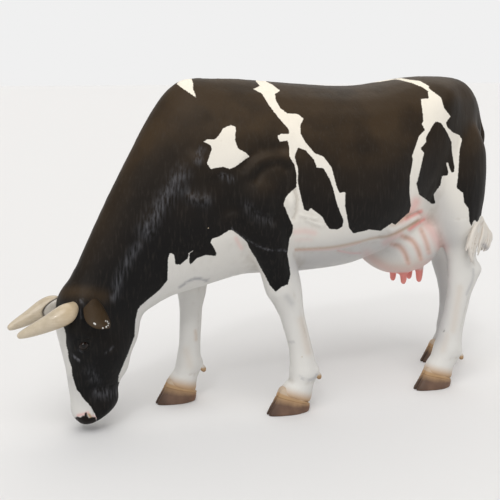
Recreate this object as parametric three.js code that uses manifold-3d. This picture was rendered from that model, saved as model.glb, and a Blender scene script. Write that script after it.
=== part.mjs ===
// A life-size dairy cow in painted fibreglass, standing in a slow walk with its head down to graze.
// X runs from the nose to the tail, Y to the cow's right and Z up, in millimetres. The floor is Z = 0, and
// the
// origin is on it, below the middle of the cow's box.
import * as THREE from "three";
import { mergeVertices } from "three/addons/utils/BufferGeometryUtils.js";
import Module from "manifold-3d";

const wasm = await Module();
wasm.setup();

// ---- Driving dimensions ---------------------------------------------------------------------------------

const WITHERS = 1438; // height of the back over the shoulders
const LOIN = 1403; // lowest point of the topline
const RUMP = 1442;
const BARREL_FLOOR = 590; // underside of the barrel
const BARREL_HALF = 345; // half the width of the barrel at its fullest
const HOOK_HALF = 262; // half the width across the hip bones
// From the midline to the middle of each foot.
const TRACK = { fore_left: 195, fore_right: 162, hind_left: 203, hind_right: 150 };
const EYE = { x: -928, y: 97, z: 390, radius: 21 };
const HORN_BASE = 41; // radius of a horn where it leaves the poll
const EAR_HALF = 55;
// `apart` is from the middle of the foot to the middle of a claw.
const CLAW = { width: 54, apart: 28, setBack: 10 };
const DEWCLAW = { radius: 16, height: 38, apart: 27 };
const TEAT = { radius: 15.5, length: 62, tip: 470 }; // `tip` is the height of its end
const TAIL_ROOT = 34; // radius of the tail where it leaves the rump
const CUT = 0.6; // gap left where one moulding meets the next

// Facets round each kind of piece.
const BODY_SIDES = 24;
const LEG_SIDES = 14;
const SMALL_SIDES = 10;

const LEFT = -1;
const RIGHT = 1;
const SIDES = { left: LEFT, right: RIGHT };

// ---- Small helpers --------------------------------------------------------------------------------------

const at = (x, y, z) => new THREE.Vector3(x, y, z);
const count = (n) => [...Array(n).keys()];
const { lerp } = THREE.MathUtils;
const ACROSS = at(0, 1, 0);
const signedPower = (value, power) => Math.sign(value) * Math.abs(value) ** power;
const middleOf = (ring) => ring.reduce((sum, p) => sum.add(p), at(0, 0, 0)).divideScalar(ring.length);

// ---- Rings and the surfaces between them ----------------------------------------------------------------

// A closed ring of points about `centre`. It reaches `above` along `up`, `below` against it and `half` to
// each side.
// A power of 1 makes that part of it an ellipse, less makes it boxier and more makes it keeled.
function oval({ centre, up, side, above, below, half, crown = 1, keel = 1 }, sides) {
  return count(sides).map((i) => {
    const turn = (2 * Math.PI * i) / sides;
    const rise = Math.cos(turn);
    const power = rise > 0 ? crown : keel;
    return centre
      .clone()
      .addScaledVector(up, (rise > 0 ? above : below) * signedPower(rise, power))
      .addScaledVector(side, half * signedPower(Math.sin(turn), power));
  });
}

// The closed surface through a row of rings, with a fan over each end, facing out.
function skin(rings) {
  const sides = rings[0].length;
  const last = (rings.length - 1) * sides;
  const points = [...rings.flat(), middleOf(rings[0]), middleOf(rings.at(-1))];
  const faces = [];
  for (const i of count(rings.length - 1)) {
    for (const j of count(sides)) {
      const a = i * sides + j;
      const b = i * sides + ((j + 1) % sides);
      faces.push([a, b, a + sides], [b, b + sides, a + sides]);
    }
  }
  for (const j of count(sides)) {
    const k = (j + 1) % sides;
    faces.push([k, j, points.length - 2], [last + j, last + k, points.length - 1]);
  }
  const volume = faces.reduce((sum, [a, b, c]) => sum + points[a].dot(points[b].clone().cross(points[c])), 0);
  const outward = volume > 0 ? faces : faces.map(([a, b, c]) => [a, c, b]);
  return new THREE.BufferGeometry().setFromPoints(points).setIndex(outward.flat());
}

// Rows of numbers, one for each station, as a smooth function of the station's number.
function fair(rows) {
  const width = rows[0].length;
  const curves = count(Math.ceil(width / 3)).map(
    (k) =>
      new THREE.CatmullRomCurve3(
        rows.map((row) => at(row[3 * k], row[3 * k + 1] ?? 0, row[3 * k + 2] ?? 0)),
        false,
        "catmullrom",
        0.5,
      ),
  );
  return (station) => curves.flatMap((curve) => curve.getPoint(station / (rows.length - 1)).toArray());
}

// Samples a row of stations, with `perSpan` steps between one station and the next.
const sample = (rows, perSpan, ringAt) => {
  const faired = fair(rows);
  return count((rows.length - 1) * perSpan + 1).map((i) => ringAt(faired(i / perSpan)));
};

// A round or flattened horn-like piece along a curve. Each row is [x, y, z, half width, half thickness],
// and the
// width lies along `broad`, as far as that can be square to the curve.
function taper(rows, broad, sides, perSpan = 1) {
  const path = new THREE.CatmullRomCurve3(rows.map(([x, y, z]) => at(x, y, z)));
  const faired = fair(rows);
  const steps = (rows.length - 1) * perSpan;
  return count(steps + 1).map((i) => {
    const [x, y, z, width, thickness] = faired(i / perSpan);
    const along = path.getTangent(i / steps);
    const side = broad.clone().addScaledVector(along, -broad.dot(along)).normalize();
    const up = along.clone().cross(side);
    return oval({ centre: at(x, y, z), up, side, above: thickness, below: thickness, half: width }, sides);
  });
}

// ---- Cutting and joining --------------------------------------------------------------------------------

function bare(geometry) {
  const copy = geometry.clone();
  copy.deleteAttribute("normal");
  copy.deleteAttribute("uv");
  return mergeVertices(copy, 1e-3);
}

function solid(geometry) {
  const merged = bare(geometry);
  return new wasm.Manifold(
    new wasm.Mesh({
      numProp: 3,
      vertProperties: merged.attributes.position.array,
      triVerts: new Uint32Array(merged.index.array),
    }),
  );
}

function geometryOf(manifold) {
  const mesh = manifold.getMesh();
  return new THREE.BufferGeometry()
    .setAttribute("position", new THREE.BufferAttribute(new Float32Array(mesh.vertProperties), 3))
    .setIndex(new THREE.BufferAttribute(new Uint32Array(mesh.triVerts), 1));
}

// The same surface moved out by `gap`: the room that a neighbour has to leave.
function room(geometry, gap = CUT) {
  const merged = bare(geometry);
  merged.computeVertexNormals();
  const { position, normal } = merged.attributes;
  for (const i of count(position.count)) {
    const point = at(0, 0, 0).fromBufferAttribute(position, i);
    point.addScaledVector(at(0, 0, 0).fromBufferAttribute(normal, i), gap);
    position.setXYZ(i, point.x, point.y, point.z);
  }
  return solid(merged);
}

// What is left of a piece outside its neighbours' room, without the crumbs that a cut leaves.
function trimmed(geometry, rooms) {
  const cut = rooms.reduce((left, one) => left.subtract(one), solid(geometry));
  const parts = cut.decompose().sort((a, b) => b.volume() - a.volume());
  return geometryOf(parts[0]);
}

const united = (geometries) => geometryOf(geometries.map(solid).reduce((sum, one) => sum.add(one)));

// ---- Trunk, neck and head: one hull, drawn as frames between the topline and the underline --------------

// Each frame is [top x, top z, bottom x, bottom z, half width, widest, crown, keel]. Its plane holds the
// top point,
// the bottom point and the Y direction, and `widest` is how far down it is broadest, as a share of its depth.
const TRUNK_FRAMES = [
  [1062, 1190, 1058, 1080, 40, 0.5, 1, 1], // under the tail
  [1053, 1280, 1046, 985, 82, 0.4, 0.95, 1],
  [1027, 1351, 1020, 880, 114, 0.34, 0.9, 1],
  [988, 1402, 980, 780, 130, 0.3, 0.86, 1], // pin bones
  [925, 1434, 915, 713, 180, 0.26, 0.82, 1],
  [825, RUMP, 825, 690, 224, 0.23, 0.78, 1], // rump
  [715, 1439, 722, 688, HOOK_HALF, 0.21, 0.72, 0.96], // hip bones
  [580, 1428, 600, 664, 284, 0.44, 0.8, 0.95], // flank
  [430, 1408, 450, 636, 322, 0.56, 0.86, 0.95], // loin
  [290, LOIN, 300, 600, 342, 0.58, 0.9, 0.95], // paunch
  [110, 1413, 110, BARREL_FLOOR, BARREL_HALF, 0.58, 0.94, 0.98],
  [-60, 1425, -50, 588, 312, 0.55, 1, 1], // girth, behind the elbow
  [-200, 1435, -185, 596, 268, 0.5, 1.06, 1.02],
  [-330, WITHERS, -300, 576, 240, 0.48, 1.1, 1.02], // withers
];
const NECK_FRAMES = [
  [-467, 1430, -390, 556, 206, 0.5, 1.08, 1.04], // point of the shoulder
  [-573, 1326, -472, 540, 168, 0.52, 1.04, 1.08], // brisket
  [-678, 1154, -546, 520, 136, 0.5, 1.02, 1.08],
  [-783, 969, -602, 492, 114, 0.48, 1, 1.04],
  [-870, 802, -650, 468, 102, 0.46, 1, 1],
  [-929, 684, -661, 437, 98, 0.44, 0.95, 1], // nape
];
const HEAD_FRAMES = [
  [-970, 610, -668, 404, 100, 0.36, 0.85, 0.95],
  [-1001, 558, -679, 364, 106, 0.3, 0.78, 0.92], // poll
  [-1010, 485, -700, 324, 110, 0.28, 0.76, 0.9], // forehead
  [-1007, 421, -718, 286, 110, 0.32, 0.74, 0.88], // eyes
  [-995, 345, -726, 245, 98, 0.4, 0.78, 0.86], // cheeks
  [-982, 270, -753, 206, 82, 0.44, 0.84, 0.9],
  [-974, 200, -771, 164, 72, 0.48, 0.86, 0.95], // bridge of the nose
  [-966, 135, -770, 124, 78, 0.5, 0.85, 0.95],
  [-958, 87, -793, 88, 84, 0.5, 0.85, 0.92], // muzzle
  [-945, 50, -838, 62, 70, 0.5, 0.86, 0.92],
  [-924, 32, -888, 37, 36, 0.5, 0.9, 0.9], // lips
];
const HULL_FRAMES = [...TRUNK_FRAMES, ...NECK_FRAMES, ...HEAD_FRAMES];
const HULL_STEPS = 2; // rings for each frame

// Bones and muscles that stand out of the hull on both sides: where, how far they reach and how far they
// rise.
const SWELLINGS = [
  { x: 712, y: 250, z: 1335, reach: 78, rise: 20 }, // hip bone
  { x: 972, y: 122, z: 1318, reach: 60, rise: 12 }, // pin bone
  { x: 600, y: 230, z: 1255, reach: 110, rise: -18 }, // hollow of the flank
  { x: -250, y: 200, z: 1165, reach: 170, rise: 14 }, // shoulder blade
  { x: -430, y: 190, z: 815, reach: 120, rise: 26 }, // point of the shoulder
  { x: -975, y: 95, z: 440, reach: 42, rise: 12 }, // brow
  { x: -800, y: 90, z: 335, reach: 80, rise: 12 }, // cheek
  { x: -905, y: 60, z: 80, reach: 40, rise: 6 }, // wing of the nostril
];

function swollen(point, centre) {
  const outward = point.clone().sub(centre).normalize();
  const rise = SWELLINGS.reduce((sum, swelling) => {
    const middle = at(swelling.x, swelling.y * Math.sign(point.y), swelling.z);
    return sum + swelling.rise * Math.exp(-((point.distanceTo(middle) / swelling.reach) ** 2));
  }, 0);
  return point.clone().addScaledVector(outward, rise);
}

function hullRing([topX, topZ, lowX, lowZ, half, widest, crown, keel]) {
  const top = at(topX, 0, topZ);
  const low = at(lowX, 0, lowZ);
  const depth = top.distanceTo(low);
  const up = top.clone().sub(low).normalize();
  const centre = top.clone().lerp(low, widest);
  const shape = { centre, up, side: ACROSS, half, crown, keel };
  const reach = { above: depth * widest, below: depth * (1 - widest) };
  return oval({ ...shape, ...reach }, BODY_SIDES).map((point) => swollen(point, centre));
}

const hullRings = sample(HULL_FRAMES, HULL_STEPS, hullRing);
const NECK_START = (TRUNK_FRAMES.length - 1) * HULL_STEPS;
const HEAD_START = NECK_START + NECK_FRAMES.length * HULL_STEPS;

// A stretch of the hull. All but the first begin a cut's width along the hull from where the last one ended.
function stretch(from, to) {
  const rings = hullRings.slice(from, to + 1);
  if (from > 0) {
    const share = CUT / middleOf(rings[0]).distanceTo(middleOf(rings[1]));
    rings[0] = rings[0].map((point, i) => point.clone().lerp(rings[1][i], share));
  }
  return skin(rings);
}

// ---- Legs -----------------------------------------------------------------------------------------------

// Each row is [z, x, reach, half width, y, slope]: the ring's height, its middle, how far it reaches fore
// and aft, and
// how steeply it drops towards the heel. The last ring is the coronet, where the claws begin.
const LEGS = {
  fore_left: [
    [1085, -215, 92, 50, 188, 0],
    [1010, -210, 130, 84, 194, 0],
    [935, -202, 142, 92, 196, 0], // elbow
    [865, -187, 138, 88, 194, 0],
    [790, -158, 122, 80, 190, 0],
    [720, -130, 104, 74, 186, 0],
    [645, -97, 90, 68, 180, 0],
    [585, -78, 86, 62, 176, 0],
    [530, -63, 84, 59, 173, 0], // knee
    [480, -43, 67, 54, 171, 0],
    [425, -24, 56, 46, 173, 0],
    [345, -2, 54, 43, 178, 0],
    [275, 15, 53, 43, 182, 0],
    [210, 25, 60, 49, 186, 0],
    [165, 28, 68, 56, 189, -0.06], // fetlock
    [130, 20, 57, 54, 191, -0.18],
    [95, -6, 72, 54, 193, -0.32], // pastern
    [60, -24, 73, 54, TRACK.fore_left, -0.415],
  ],
  fore_right: [
    [1085, -262, 92, 50, 188, 0],
    [1010, -272, 130, 84, 194, 0],
    [935, -285, 145, 92, 196, 0],
    [865, -293, 140, 88, 194, 0],
    [790, -309, 128, 80, 190, 0],
    [720, -328, 108, 74, 186, 0],
    [645, -343, 92, 68, 180, 0],
    [585, -347, 82, 62, 176, 0],
    [530, -349, 76, 59, 172, 0],
    [480, -346, 63, 54, 168, 0],
    [425, -353, 52, 46, 165, 0],
    [345, -357, 50, 42, 163, 0],
    [275, -361, 49, 42, 162, 0],
    [210, -367, 53, 48, 161, 0],
    [165, -367, 60, 55, TRACK.fore_right, -0.06],
    [130, -376, 58, 53, TRACK.fore_right, -0.18],
    [95, -398, 66, 53, TRACK.fore_right, -0.3],
    [59, -406, 65, 53, TRACK.fore_right, -0.39],
  ],
  hind_left: [
    [1215, 866, 104, 46, 160, 0],
    [1105, 860, 150, 78, 164, 0],
    [990, 848, 164, 88, 168, 0],
    [885, 843, 161, 88, 171, 0], // thigh
    [800, 845, 141, 80, 174, 0],
    [725, 860, 119, 69, 176, 0],
    [660, 881, 91, 58, 174, 0],
    [600, 891, 76, 51, 173, 0],
    [542, 917, 97, 50, 173, 0], // hock
    [490, 900, 80, 49, 175, 0],
    [425, 877, 62, 46, 180, 0],
    [355, 859, 61, 42, 185, 0],
    [285, 836, 62, 42, 189, 0],
    [225, 820, 68, 46, 193, 0],
    [175, 809, 75, 54, 196, -0.05], // fetlock
    [137, 797, 73, 53, 198, -0.15],
    [99, 764, 72, 53, 200, -0.27], // pastern
    [58, 748, 73, 54, TRACK.hind_left, -0.355],
  ],
  hind_right: [
    [1215, 872, 104, 46, 160, 0],
    [1105, 866, 144, 78, 164, 0],
    [990, 862, 166, 88, 168, 0],
    [885, 874, 167, 88, 171, 0],
    [800, 898, 150, 80, 174, 0],
    [725, 931, 126, 69, 176, 0],
    [660, 958, 102, 60, 172, 0],
    [590, 1010, 88, 53, 171, 0],
    [530, 1086, 104, 51, 170, 0],
    [475, 1086, 83, 49, 168, 0],
    [420, 1092, 66, 46, 166, 0],
    [355, 1099, 60, 42, 162, 0],
    [285, 1102, 61, 42, 159, 0],
    [225, 1099, 63, 46, 156, 0],
    [175, 1089, 61, 54, 155, -0.05],
    [137, 1086, 56, 53, 153, -0.15],
    [99, 1072, 63, 53, 152, -0.27],
    [57, 1060, 67, 54, TRACK.hind_right, -0.37],
  ],
};

function legRing(side) {
  return ([z, x, reach, half, y, slope]) => {
    const up = at(-reach, 0, -reach * slope);
    const length = up.length();
    const shape = { centre: at(x, side * y, z), up: up.normalize(), side: ACROSS };
    return oval({ ...shape, above: length, below: length, half, crown: 0.92, keel: 1.06 }, LEG_SIDES);
  };
}

// ---- Feet -----------------------------------------------------------------------------------------------

// Where each sole begins and ends.
const SOLE = {
  fore_left: [-146, 42],
  fore_right: [-522, -343],
  hind_left: [633, 810],
  hind_right: [932, 1112],
};
const CLAW_LEVELS = 3;
const CLAW_SIDES = 12;
const DEWCLAW_SIDES = 8;
const CLAW_FLARE = 0.04; // how much its wall swells half-way up
const CLAW_SQUARE = 0.75; // below 1, it is squarer than an ellipse
const TOE_WIDTH = 0.56; // as a share of the heel's
const TOE_APART = 0.63; // how far a toe is from the cleft, as a share of the heel's distance

// One claw, from its flat sole up to the leg's last ring, which is the coronet. `out` is -1 or 1, and
// points away
// from the cleft.
function claw([toe, heel], [midZ, midX, reach, , midY, slope], side, out) {
  const top = { front: midX - reach + CLAW.setBack, back: midX + reach };
  return skin(
    count(CLAW_LEVELS + 1).map((level) => {
      const rise = level / CLAW_LEVELS;
      const front = lerp(toe, top.front, rise);
      const back = lerp(heel, top.back, rise);
      return count(CLAW_SIDES).map((i) => {
        const turn = (2 * Math.PI * i) / CLAW_SIDES;
        const along = (1 - Math.cos(turn)) / 2;
        const x = lerp(front, back, along);
        const flare = 1 + CLAW_FLARE * Math.sin(Math.PI * rise);
        const spread = signedPower(Math.sin(turn), CLAW_SQUARE) * lerp(TOE_WIDTH, 1, along) * flare;
        const lift = midZ - CUT + slope * (x - midX);
        const middle = side * midY + out * CLAW.apart * lerp(TOE_APART, 1, along);
        return at(x, middle + (CLAW.width / 2) * spread, lift * rise);
      });
    }),
  );
}

// Where the dewclaws of each foot are: the height of their root, and how far they stand off the back of the
// leg.
const DEWCLAW_AT = {
  fore_left: [166, 15],
  fore_right: [158, 14],
  hind_left: [151, 4],
  hind_right: [163, 0],
};
// Each row is [back, up, share of the radius across, share of it fore and aft].
const DEWCLAW_ROWS = [
  [-24, 0, 0.9, 0.8],
  [-6, -8, 1, 0.85],
  [4, -20, 0.85, 0.7],
  [6, -DEWCLAW.height, 0.45, 0.35],
];

// One of the two small horny points behind the fetlock, on the leg whose ring there is given.
function dewclaw([root, standOff], [, midX, reach, , midY], side, out) {
  const x = midX + reach + standOff;
  const y = side * midY + out * DEWCLAW.apart;
  const rows = DEWCLAW_ROWS.map(([back, up, across, deep]) => [
    x + back,
    y,
    root + up,
    DEWCLAW.radius * across,
    DEWCLAW.radius * deep,
  ]);
  return skin(taper(rows, ACROSS, DEWCLAW_SIDES));
}

// ---- Head pieces, udder and tail ------------------------------------------------------------------------

// A horn leaves the side of the poll, bends forward and ends in a blunt tip that turns in. Each row is [x,
// y, z,
// share of the base's radius, how much lower it hangs on the right].
const HORN_ROWS = [
  [-958, 88, 547, 0.96, 13],
  [-1003, 112, 533, 1, 13],
  [-1045, 116, 516, 0.96, 13],
  [-1095, 106, 492, 0.72, 13],
  [-1146, 91, 472, 0.55, 8],
  [-1188, 77, 454, 0.34, 4],
  [-1201, 73, 447, 0.16, 2],
];
function horn(side) {
  const rows = HORN_ROWS.map(([x, y, z, share, sag]) => {
    const radius = HORN_BASE * share;
    return [x, side * y, side === RIGHT ? z - sag : z, radius, radius];
  });
  return skin(taper(rows, ACROSS, SMALL_SIDES));
}

// An ear is a thick leaf that hangs out and back from just behind the horn. Each row is [x, y, z, share of
// the
// half width, half thickness].
const EAR_ROWS = [
  [-922, 76, 546, 0.5, 18],
  [-913, 104, 534, 0.78, 16],
  [-900, 140, 518, 1, 12],
  [-888, 174, 504, 0.96, 10],
  [-878, 202, 492, 0.68, 8],
  [-874, 215, 487, 0.28, 5],
];
const EAR_BROAD = at(0.75, 0, 0.66); // the way that an ear is broad
function ear(side) {
  const rows = EAR_ROWS.map(([x, y, z, share, thickness]) => [x, side * y, z, EAR_HALF * share, thickness]);
  return skin(taper(rows, EAR_BROAD, SMALL_SIDES));
}

function eye(side) {
  return new THREE.SphereGeometry(EYE.radius, 12, 8).translate(EYE.x, side * EYE.y, EYE.z);
}

// Each row is [z, x, reach, half width].
const UDDER_ROWS = [
  [820, 642, 203, 148],
  [755, 640, 223, 206],
  [695, 639, 219, 212],
  [640, 646, 202, 192],
  [595, 647, 171, 163],
  [560, 646, 128, 125],
  [537, 643, 81, 80],
  [525, 641, 30, 32],
];
const UDDER_SIDES = 22;
const udderRing = ([z, x, reach, half]) => {
  const shape = { centre: at(x, 0, z), up: at(-1, 0, 0), side: ACROSS, above: reach, below: reach, half };
  return oval({ ...shape, crown: 0.95 }, UDDER_SIDES);
};

const TEAT_PLACES = { front: [655, 43], rear: [748, 40] };
// Each row is [share of the length up from the tip, share of the radius].
const TEAT_ROWS = [
  [1.25, 1.5],
  [0.75, 1.08],
  [0.3, 1],
  [0.09, 0.8],
  [0, 0.42],
];
function teat([x, y], side) {
  const rows = TEAT_ROWS.map(([up, share]) => {
    const radius = TEAT.radius * share;
    return [x, side * y, TEAT.tip + TEAT.length * up, radius, radius];
  });
  return skin(taper(rows, ACROSS, SMALL_SIDES));
}

// Each row is [x, y, z, share of the root's radius across, share of it fore and aft].
const TAIL_ROWS = [
  [985, 0, 1382, 1, 0.9],
  [1032, 0, 1345, 1, 0.9],
  [1073, 0, 1270, 0.88, 0.84],
  [1109, 0, 1165, 0.76, 0.76],
  [1106, 0, 1025, 0.64, 0.64],
  [1090, 0, 885, 0.56, 0.56],
  [1085, -4, 795, 0.52, 0.52],
  [1088, -14, 752, 0.52, 0.52],
];
function tail() {
  const rows = TAIL_ROWS.map(([x, y, z, across, deep]) => [x, y, z, TAIL_ROOT * across, TAIL_ROOT * deep]);
  return skin(taper(rows, ACROSS, SMALL_SIDES));
}

// The switch: one lock sweeps across the back of the left thigh and hangs on its outside, the other curls
// back.
const LOCKS = [
  [
    [1088, -16, 758, 16, 16],
    [1079, -58, 738, 32, 24],
    [1046, -124, 717, 42, 30],
    [1000, -188, 694, 44, 28],
    [952, -226, 660, 37, 23],
    [922, -238, 618, 27, 17],
    [902, -238, 576, 9, 7],
  ],
  [
    [1050, -110, 716, 20, 18],
    [1084, -94, 702, 31, 24],
    [1107, -84, 678, 34, 25],
    [1113, -80, 646, 32, 24],
    [1101, -82, 618, 25, 20],
    [1076, -88, 604, 9, 8],
  ],
];
const LOCK_BROAD = at(0.25, 0.1, 1); // the way that a lock is broad
const tailSwitch = () => united(LOCKS.map((rows) => skin(taper(rows, LOCK_BROAD, SMALL_SIDES))));

// ---- The pieces -----------------------------------------------------------------------------------------

const PAINT = {
  black: { color: 0x1e1c1b, roughness: 0.5, metalness: 0 },
  white: { color: 0xe4e2dc, roughness: 0.5, metalness: 0 },
  horn: { color: 0xcdbd98, roughness: 0.3, metalness: 0 },
  hoof: { color: 0x5e4638, roughness: 0.5, metalness: 0 },
  pink: { color: 0xd98c84, roughness: 0.45, metalness: 0 },
  eye: { color: 0x120c0a, roughness: 0.1, metalness: 0 },
};

const cow = new THREE.Group();

function piece(name, geometry, paint) {
  const mesh = new THREE.Mesh(geometry, new THREE.MeshStandardMaterial(paint));
  mesh.name = name;
  cow.add(mesh);
}

const bodyRoom = room(skin(hullRings));
const eyeRooms = [room(eye(LEFT)), room(eye(RIGHT))];
piece("trunk", stretch(0, NECK_START), PAINT.black);
piece("neck", stretch(NECK_START, HEAD_START), PAINT.black);
piece("head", trimmed(stretch(HEAD_START, hullRings.length - 1), eyeRooms), PAINT.black);

for (const [name, side] of Object.entries(SIDES)) {
  const hornRoom = room(horn(side));
  piece(`eye_${name}`, eye(side), PAINT.eye);
  piece(`horn_${name}`, trimmed(horn(side), [bodyRoom]), PAINT.horn);
  piece(`ear_${name}`, trimmed(ear(side), [bodyRoom, hornRoom]), PAINT.black);
}

const legRooms = [];
for (const [name, rows] of Object.entries(LEGS)) {
  const side = name.endsWith("left") ? LEFT : RIGHT;
  const leg = skin(sample(rows, 1, legRing(side)));
  legRooms.push(room(leg));
  const dewclawRooms = [];
  for (const [place, out] of Object.entries({ inner: -side, outer: side })) {
    piece(`claw_${name}_${place}`, claw(SOLE[name], rows.at(-1), side, out), PAINT.hoof);
    const point = dewclaw(DEWCLAW_AT[name], rows.at(-3), side, out);
    piece(`dewclaw_${name}_${place}`, point, PAINT.hoof);
    dewclawRooms.push(room(point));
  }
  piece(`leg_${name}`, trimmed(leg, [bodyRoom, ...dewclawRooms]), PAINT.white);
}

const udder = skin(sample(UDDER_ROWS, 1, udderRing));
for (const [place, spot] of Object.entries(TEAT_PLACES)) {
  for (const [name, side] of Object.entries(SIDES)) {
    piece(`teat_${place}_${name}`, trimmed(teat(spot, side), [room(udder)]), PAINT.pink);
  }
}
piece("udder", trimmed(udder, [bodyRoom, ...legRooms]), PAINT.pink);

piece("tail", trimmed(tail(), [bodyRoom]), PAINT.black);
piece("tail_switch", trimmed(tailSwitch(), [bodyRoom, ...legRooms, room(tail())]), PAINT.white);

export default cow;
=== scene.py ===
"""A life-size grazing cow, cast in glass fibre and painted by hand: its skin, markings, horns and hooves."""

import math

import bmesh
import bpy
import numpy as np
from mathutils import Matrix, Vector, noise
from mathutils.bvhtree import BVHTree


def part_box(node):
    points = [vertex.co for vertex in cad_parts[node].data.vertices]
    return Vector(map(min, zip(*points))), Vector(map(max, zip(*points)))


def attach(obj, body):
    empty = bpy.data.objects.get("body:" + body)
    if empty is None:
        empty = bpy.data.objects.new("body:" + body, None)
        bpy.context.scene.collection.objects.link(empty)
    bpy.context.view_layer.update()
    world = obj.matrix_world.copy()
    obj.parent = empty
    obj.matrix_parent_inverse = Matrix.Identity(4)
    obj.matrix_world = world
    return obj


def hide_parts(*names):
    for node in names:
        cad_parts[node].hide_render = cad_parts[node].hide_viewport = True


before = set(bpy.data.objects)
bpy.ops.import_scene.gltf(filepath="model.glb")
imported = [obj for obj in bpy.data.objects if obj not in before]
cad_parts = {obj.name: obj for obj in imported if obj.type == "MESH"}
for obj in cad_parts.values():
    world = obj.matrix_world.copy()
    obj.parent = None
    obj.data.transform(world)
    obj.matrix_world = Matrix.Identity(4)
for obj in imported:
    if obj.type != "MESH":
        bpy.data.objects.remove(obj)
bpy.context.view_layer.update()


# ---------------------------------------------------------------- small helpers

def linear(hex_colour):
    """An sRGB hex colour as linear RGBA."""
    parts = [int(hex_colour[i:i + 2], 16) / 255 for i in (1, 3, 5)]
    return [p / 12.92 if p <= 0.04045 else ((p + 0.055) / 1.055) ** 2.4 for p in parts] + [1.0]


def add(tree, kind, inputs=None, **settings):
    """Adds a node, sets it up, and sets or links its inputs."""
    node = tree.nodes.new(kind)
    for name, value in settings.items():
        setattr(node, name, value)
    for key, value in (inputs or {}).items():
        if isinstance(value, bpy.types.NodeSocket):
            tree.links.new(value, node.inputs[key])
        else:
            node.inputs[key].default_value = value
    return node


def pick_only(*objects):
    """Nothing is selected but these; the first is the active one."""
    bpy.ops.object.select_all(action="DESELECT")
    for o in objects:
        o.select_set(True)
    bpy.context.view_layer.objects.active = objects[0]


def apply_all(piece):
    """Applies every modifier of a piece, in order."""
    pick_only(piece)
    for modifier in list(piece.modifiers):
        bpy.ops.object.modifier_apply(modifier=modifier.name)


def settle(piece):
    """A finished piece's place is in its mesh: its object sits at the origin, unturned and unscaled."""
    pick_only(piece)
    bpy.ops.object.transform_apply(location=True, rotation=True, scale=True)


# ---------------------------------------------------------------- camera, floor and light

CAMERA_AT = (-2.093, -3.805, 1.471)
CAMERA_TURN = -27.16   # degrees round Z
CAMERA_DROP = 10.28    # degrees below level
CAMERA_LENS = 71.38    # mm
CAMERA_SENSOR = 36     # mm, square
CAMERA_SEES = 200      # metres
FRAME_SIZE = 500       # pixels across and down the frame
FLOOR_SIZE = 180       # metres, so that its far edge is lost in the air
# The air by how high it is looked at, 0 level and 1 overhead: bright and even low down, dimmer from above.
AIR_LOW, AIR_LOW_GLOW = 0.12, 0.92
AIR_HIGH, AIR_HIGH_GLOW = 0.45, 0.50

bpy.ops.object.camera_add(location=CAMERA_AT,
                          rotation=(math.radians(90 - CAMERA_DROP), 0, math.radians(CAMERA_TURN)))
camera = bpy.context.object
camera.data.lens = CAMERA_LENS
camera.data.sensor_width = CAMERA_SENSOR
camera.data.sensor_fit = "HORIZONTAL"
camera.data.clip_end = CAMERA_SEES
bpy.context.scene.camera = camera

bpy.ops.mesh.primitive_plane_add(size=FLOOR_SIZE, location=(0, 0, 0))
floor = bpy.context.object
floor.name = "studio_floor"
# Matt off-white: it takes soft shadows under the feet and gives no gleam of its own.
paper = bpy.data.materials.new("matt_white_floor")
paper.use_nodes = True
paper.node_tree.nodes["Principled BSDF"].inputs["Base Color"].default_value = linear("#dfdfe0")
paper.node_tree.nodes["Principled BSDF"].inputs["Roughness"].default_value = 0.9
floor.data.materials.append(paper)

bpy.context.scene.view_settings.view_transform = "Standard"
world = bpy.data.worlds.new("studio_air")
bpy.context.scene.world = world
world.use_nodes = True
air = world.node_tree
way = add(air, "ShaderNodeTexCoord").outputs["Generated"]
height = add(air, "ShaderNodeSeparateXYZ", {"Vector": way}).outputs["Z"]
glow = add(air, "ShaderNodeMapRange", {"Value": height, "From Min": AIR_LOW, "From Max": AIR_HIGH,
                                       "To Min": AIR_LOW_GLOW, "To Max": AIR_HIGH_GLOW}).outputs[0]
air.nodes["Background"].inputs["Color"].default_value = linear("#f9f9f9")
air.links.new(glow, air.nodes["Background"].inputs["Strength"])


def far_light(name, source, strength, spread, colour):
    """Soft, even light from a direction; spread is in degrees."""
    bpy.ops.object.light_add(type="SUN", location=source)
    lamp = bpy.context.object
    lamp.name = name
    lamp.rotation_euler = (-Vector(source)).to_track_quat("-Z", "Y").to_euler()
    lamp.data.energy = strength
    lamp.data.angle = math.radians(spread)
    lamp.data.color = linear(colour)[:3]


# A broad light overhead shapes the body, a small one makes the sparks on horns and eye, and one behind lifts the back.
far_light("ceiling_light", (-1.2, -2.2, 4.0), 1.5, 50, "#fffdf9")
far_light("lamp_light", (-2.4, -3.0, 3.2), 0.3, 5, "#ffffff")
far_light("back_light", (1.5, 2.0, 3.6), 0.8, 60, "#fff9ef")


# ---------------------------------------------------------------- places given in the frame

# Markings and carved lines on the left side are given as pixels of the camera's frame, (across, down).
FOCAL = CAMERA_LENS / CAMERA_SENSOR * FRAME_SIZE   # pixels
HALF_FRAME = FRAME_SIZE / 2
_turn, _drop = math.radians(CAMERA_TURN), math.radians(CAMERA_DROP)
RIGHT = np.array([math.cos(_turn), math.sin(_turn), 0.0])
FORWARD = np.array([-math.sin(_turn) * math.cos(_drop), math.cos(_turn) * math.cos(_drop), -math.sin(_drop)])
UP = np.cross(RIGHT, FORWARD)


def framed(p):
    """Where points fall in the frame, in pixels, and how many metres a pixel is at each."""
    from_lens = p - np.array(CAMERA_AT)
    depth = from_lens @ FORWARD
    across = HALF_FRAME + FOCAL * (from_lens @ RIGHT) / depth
    down = HALF_FRAME - FOCAL * (from_lens @ UP) / depth
    return np.stack([across, down], 1), depth / FOCAL


def side_view(p):
    """The same, with the right side mirrored on to the left."""
    return framed(np.stack([p[:, 0], -np.abs(p[:, 1]), p[:, 2]], 1))


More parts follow.
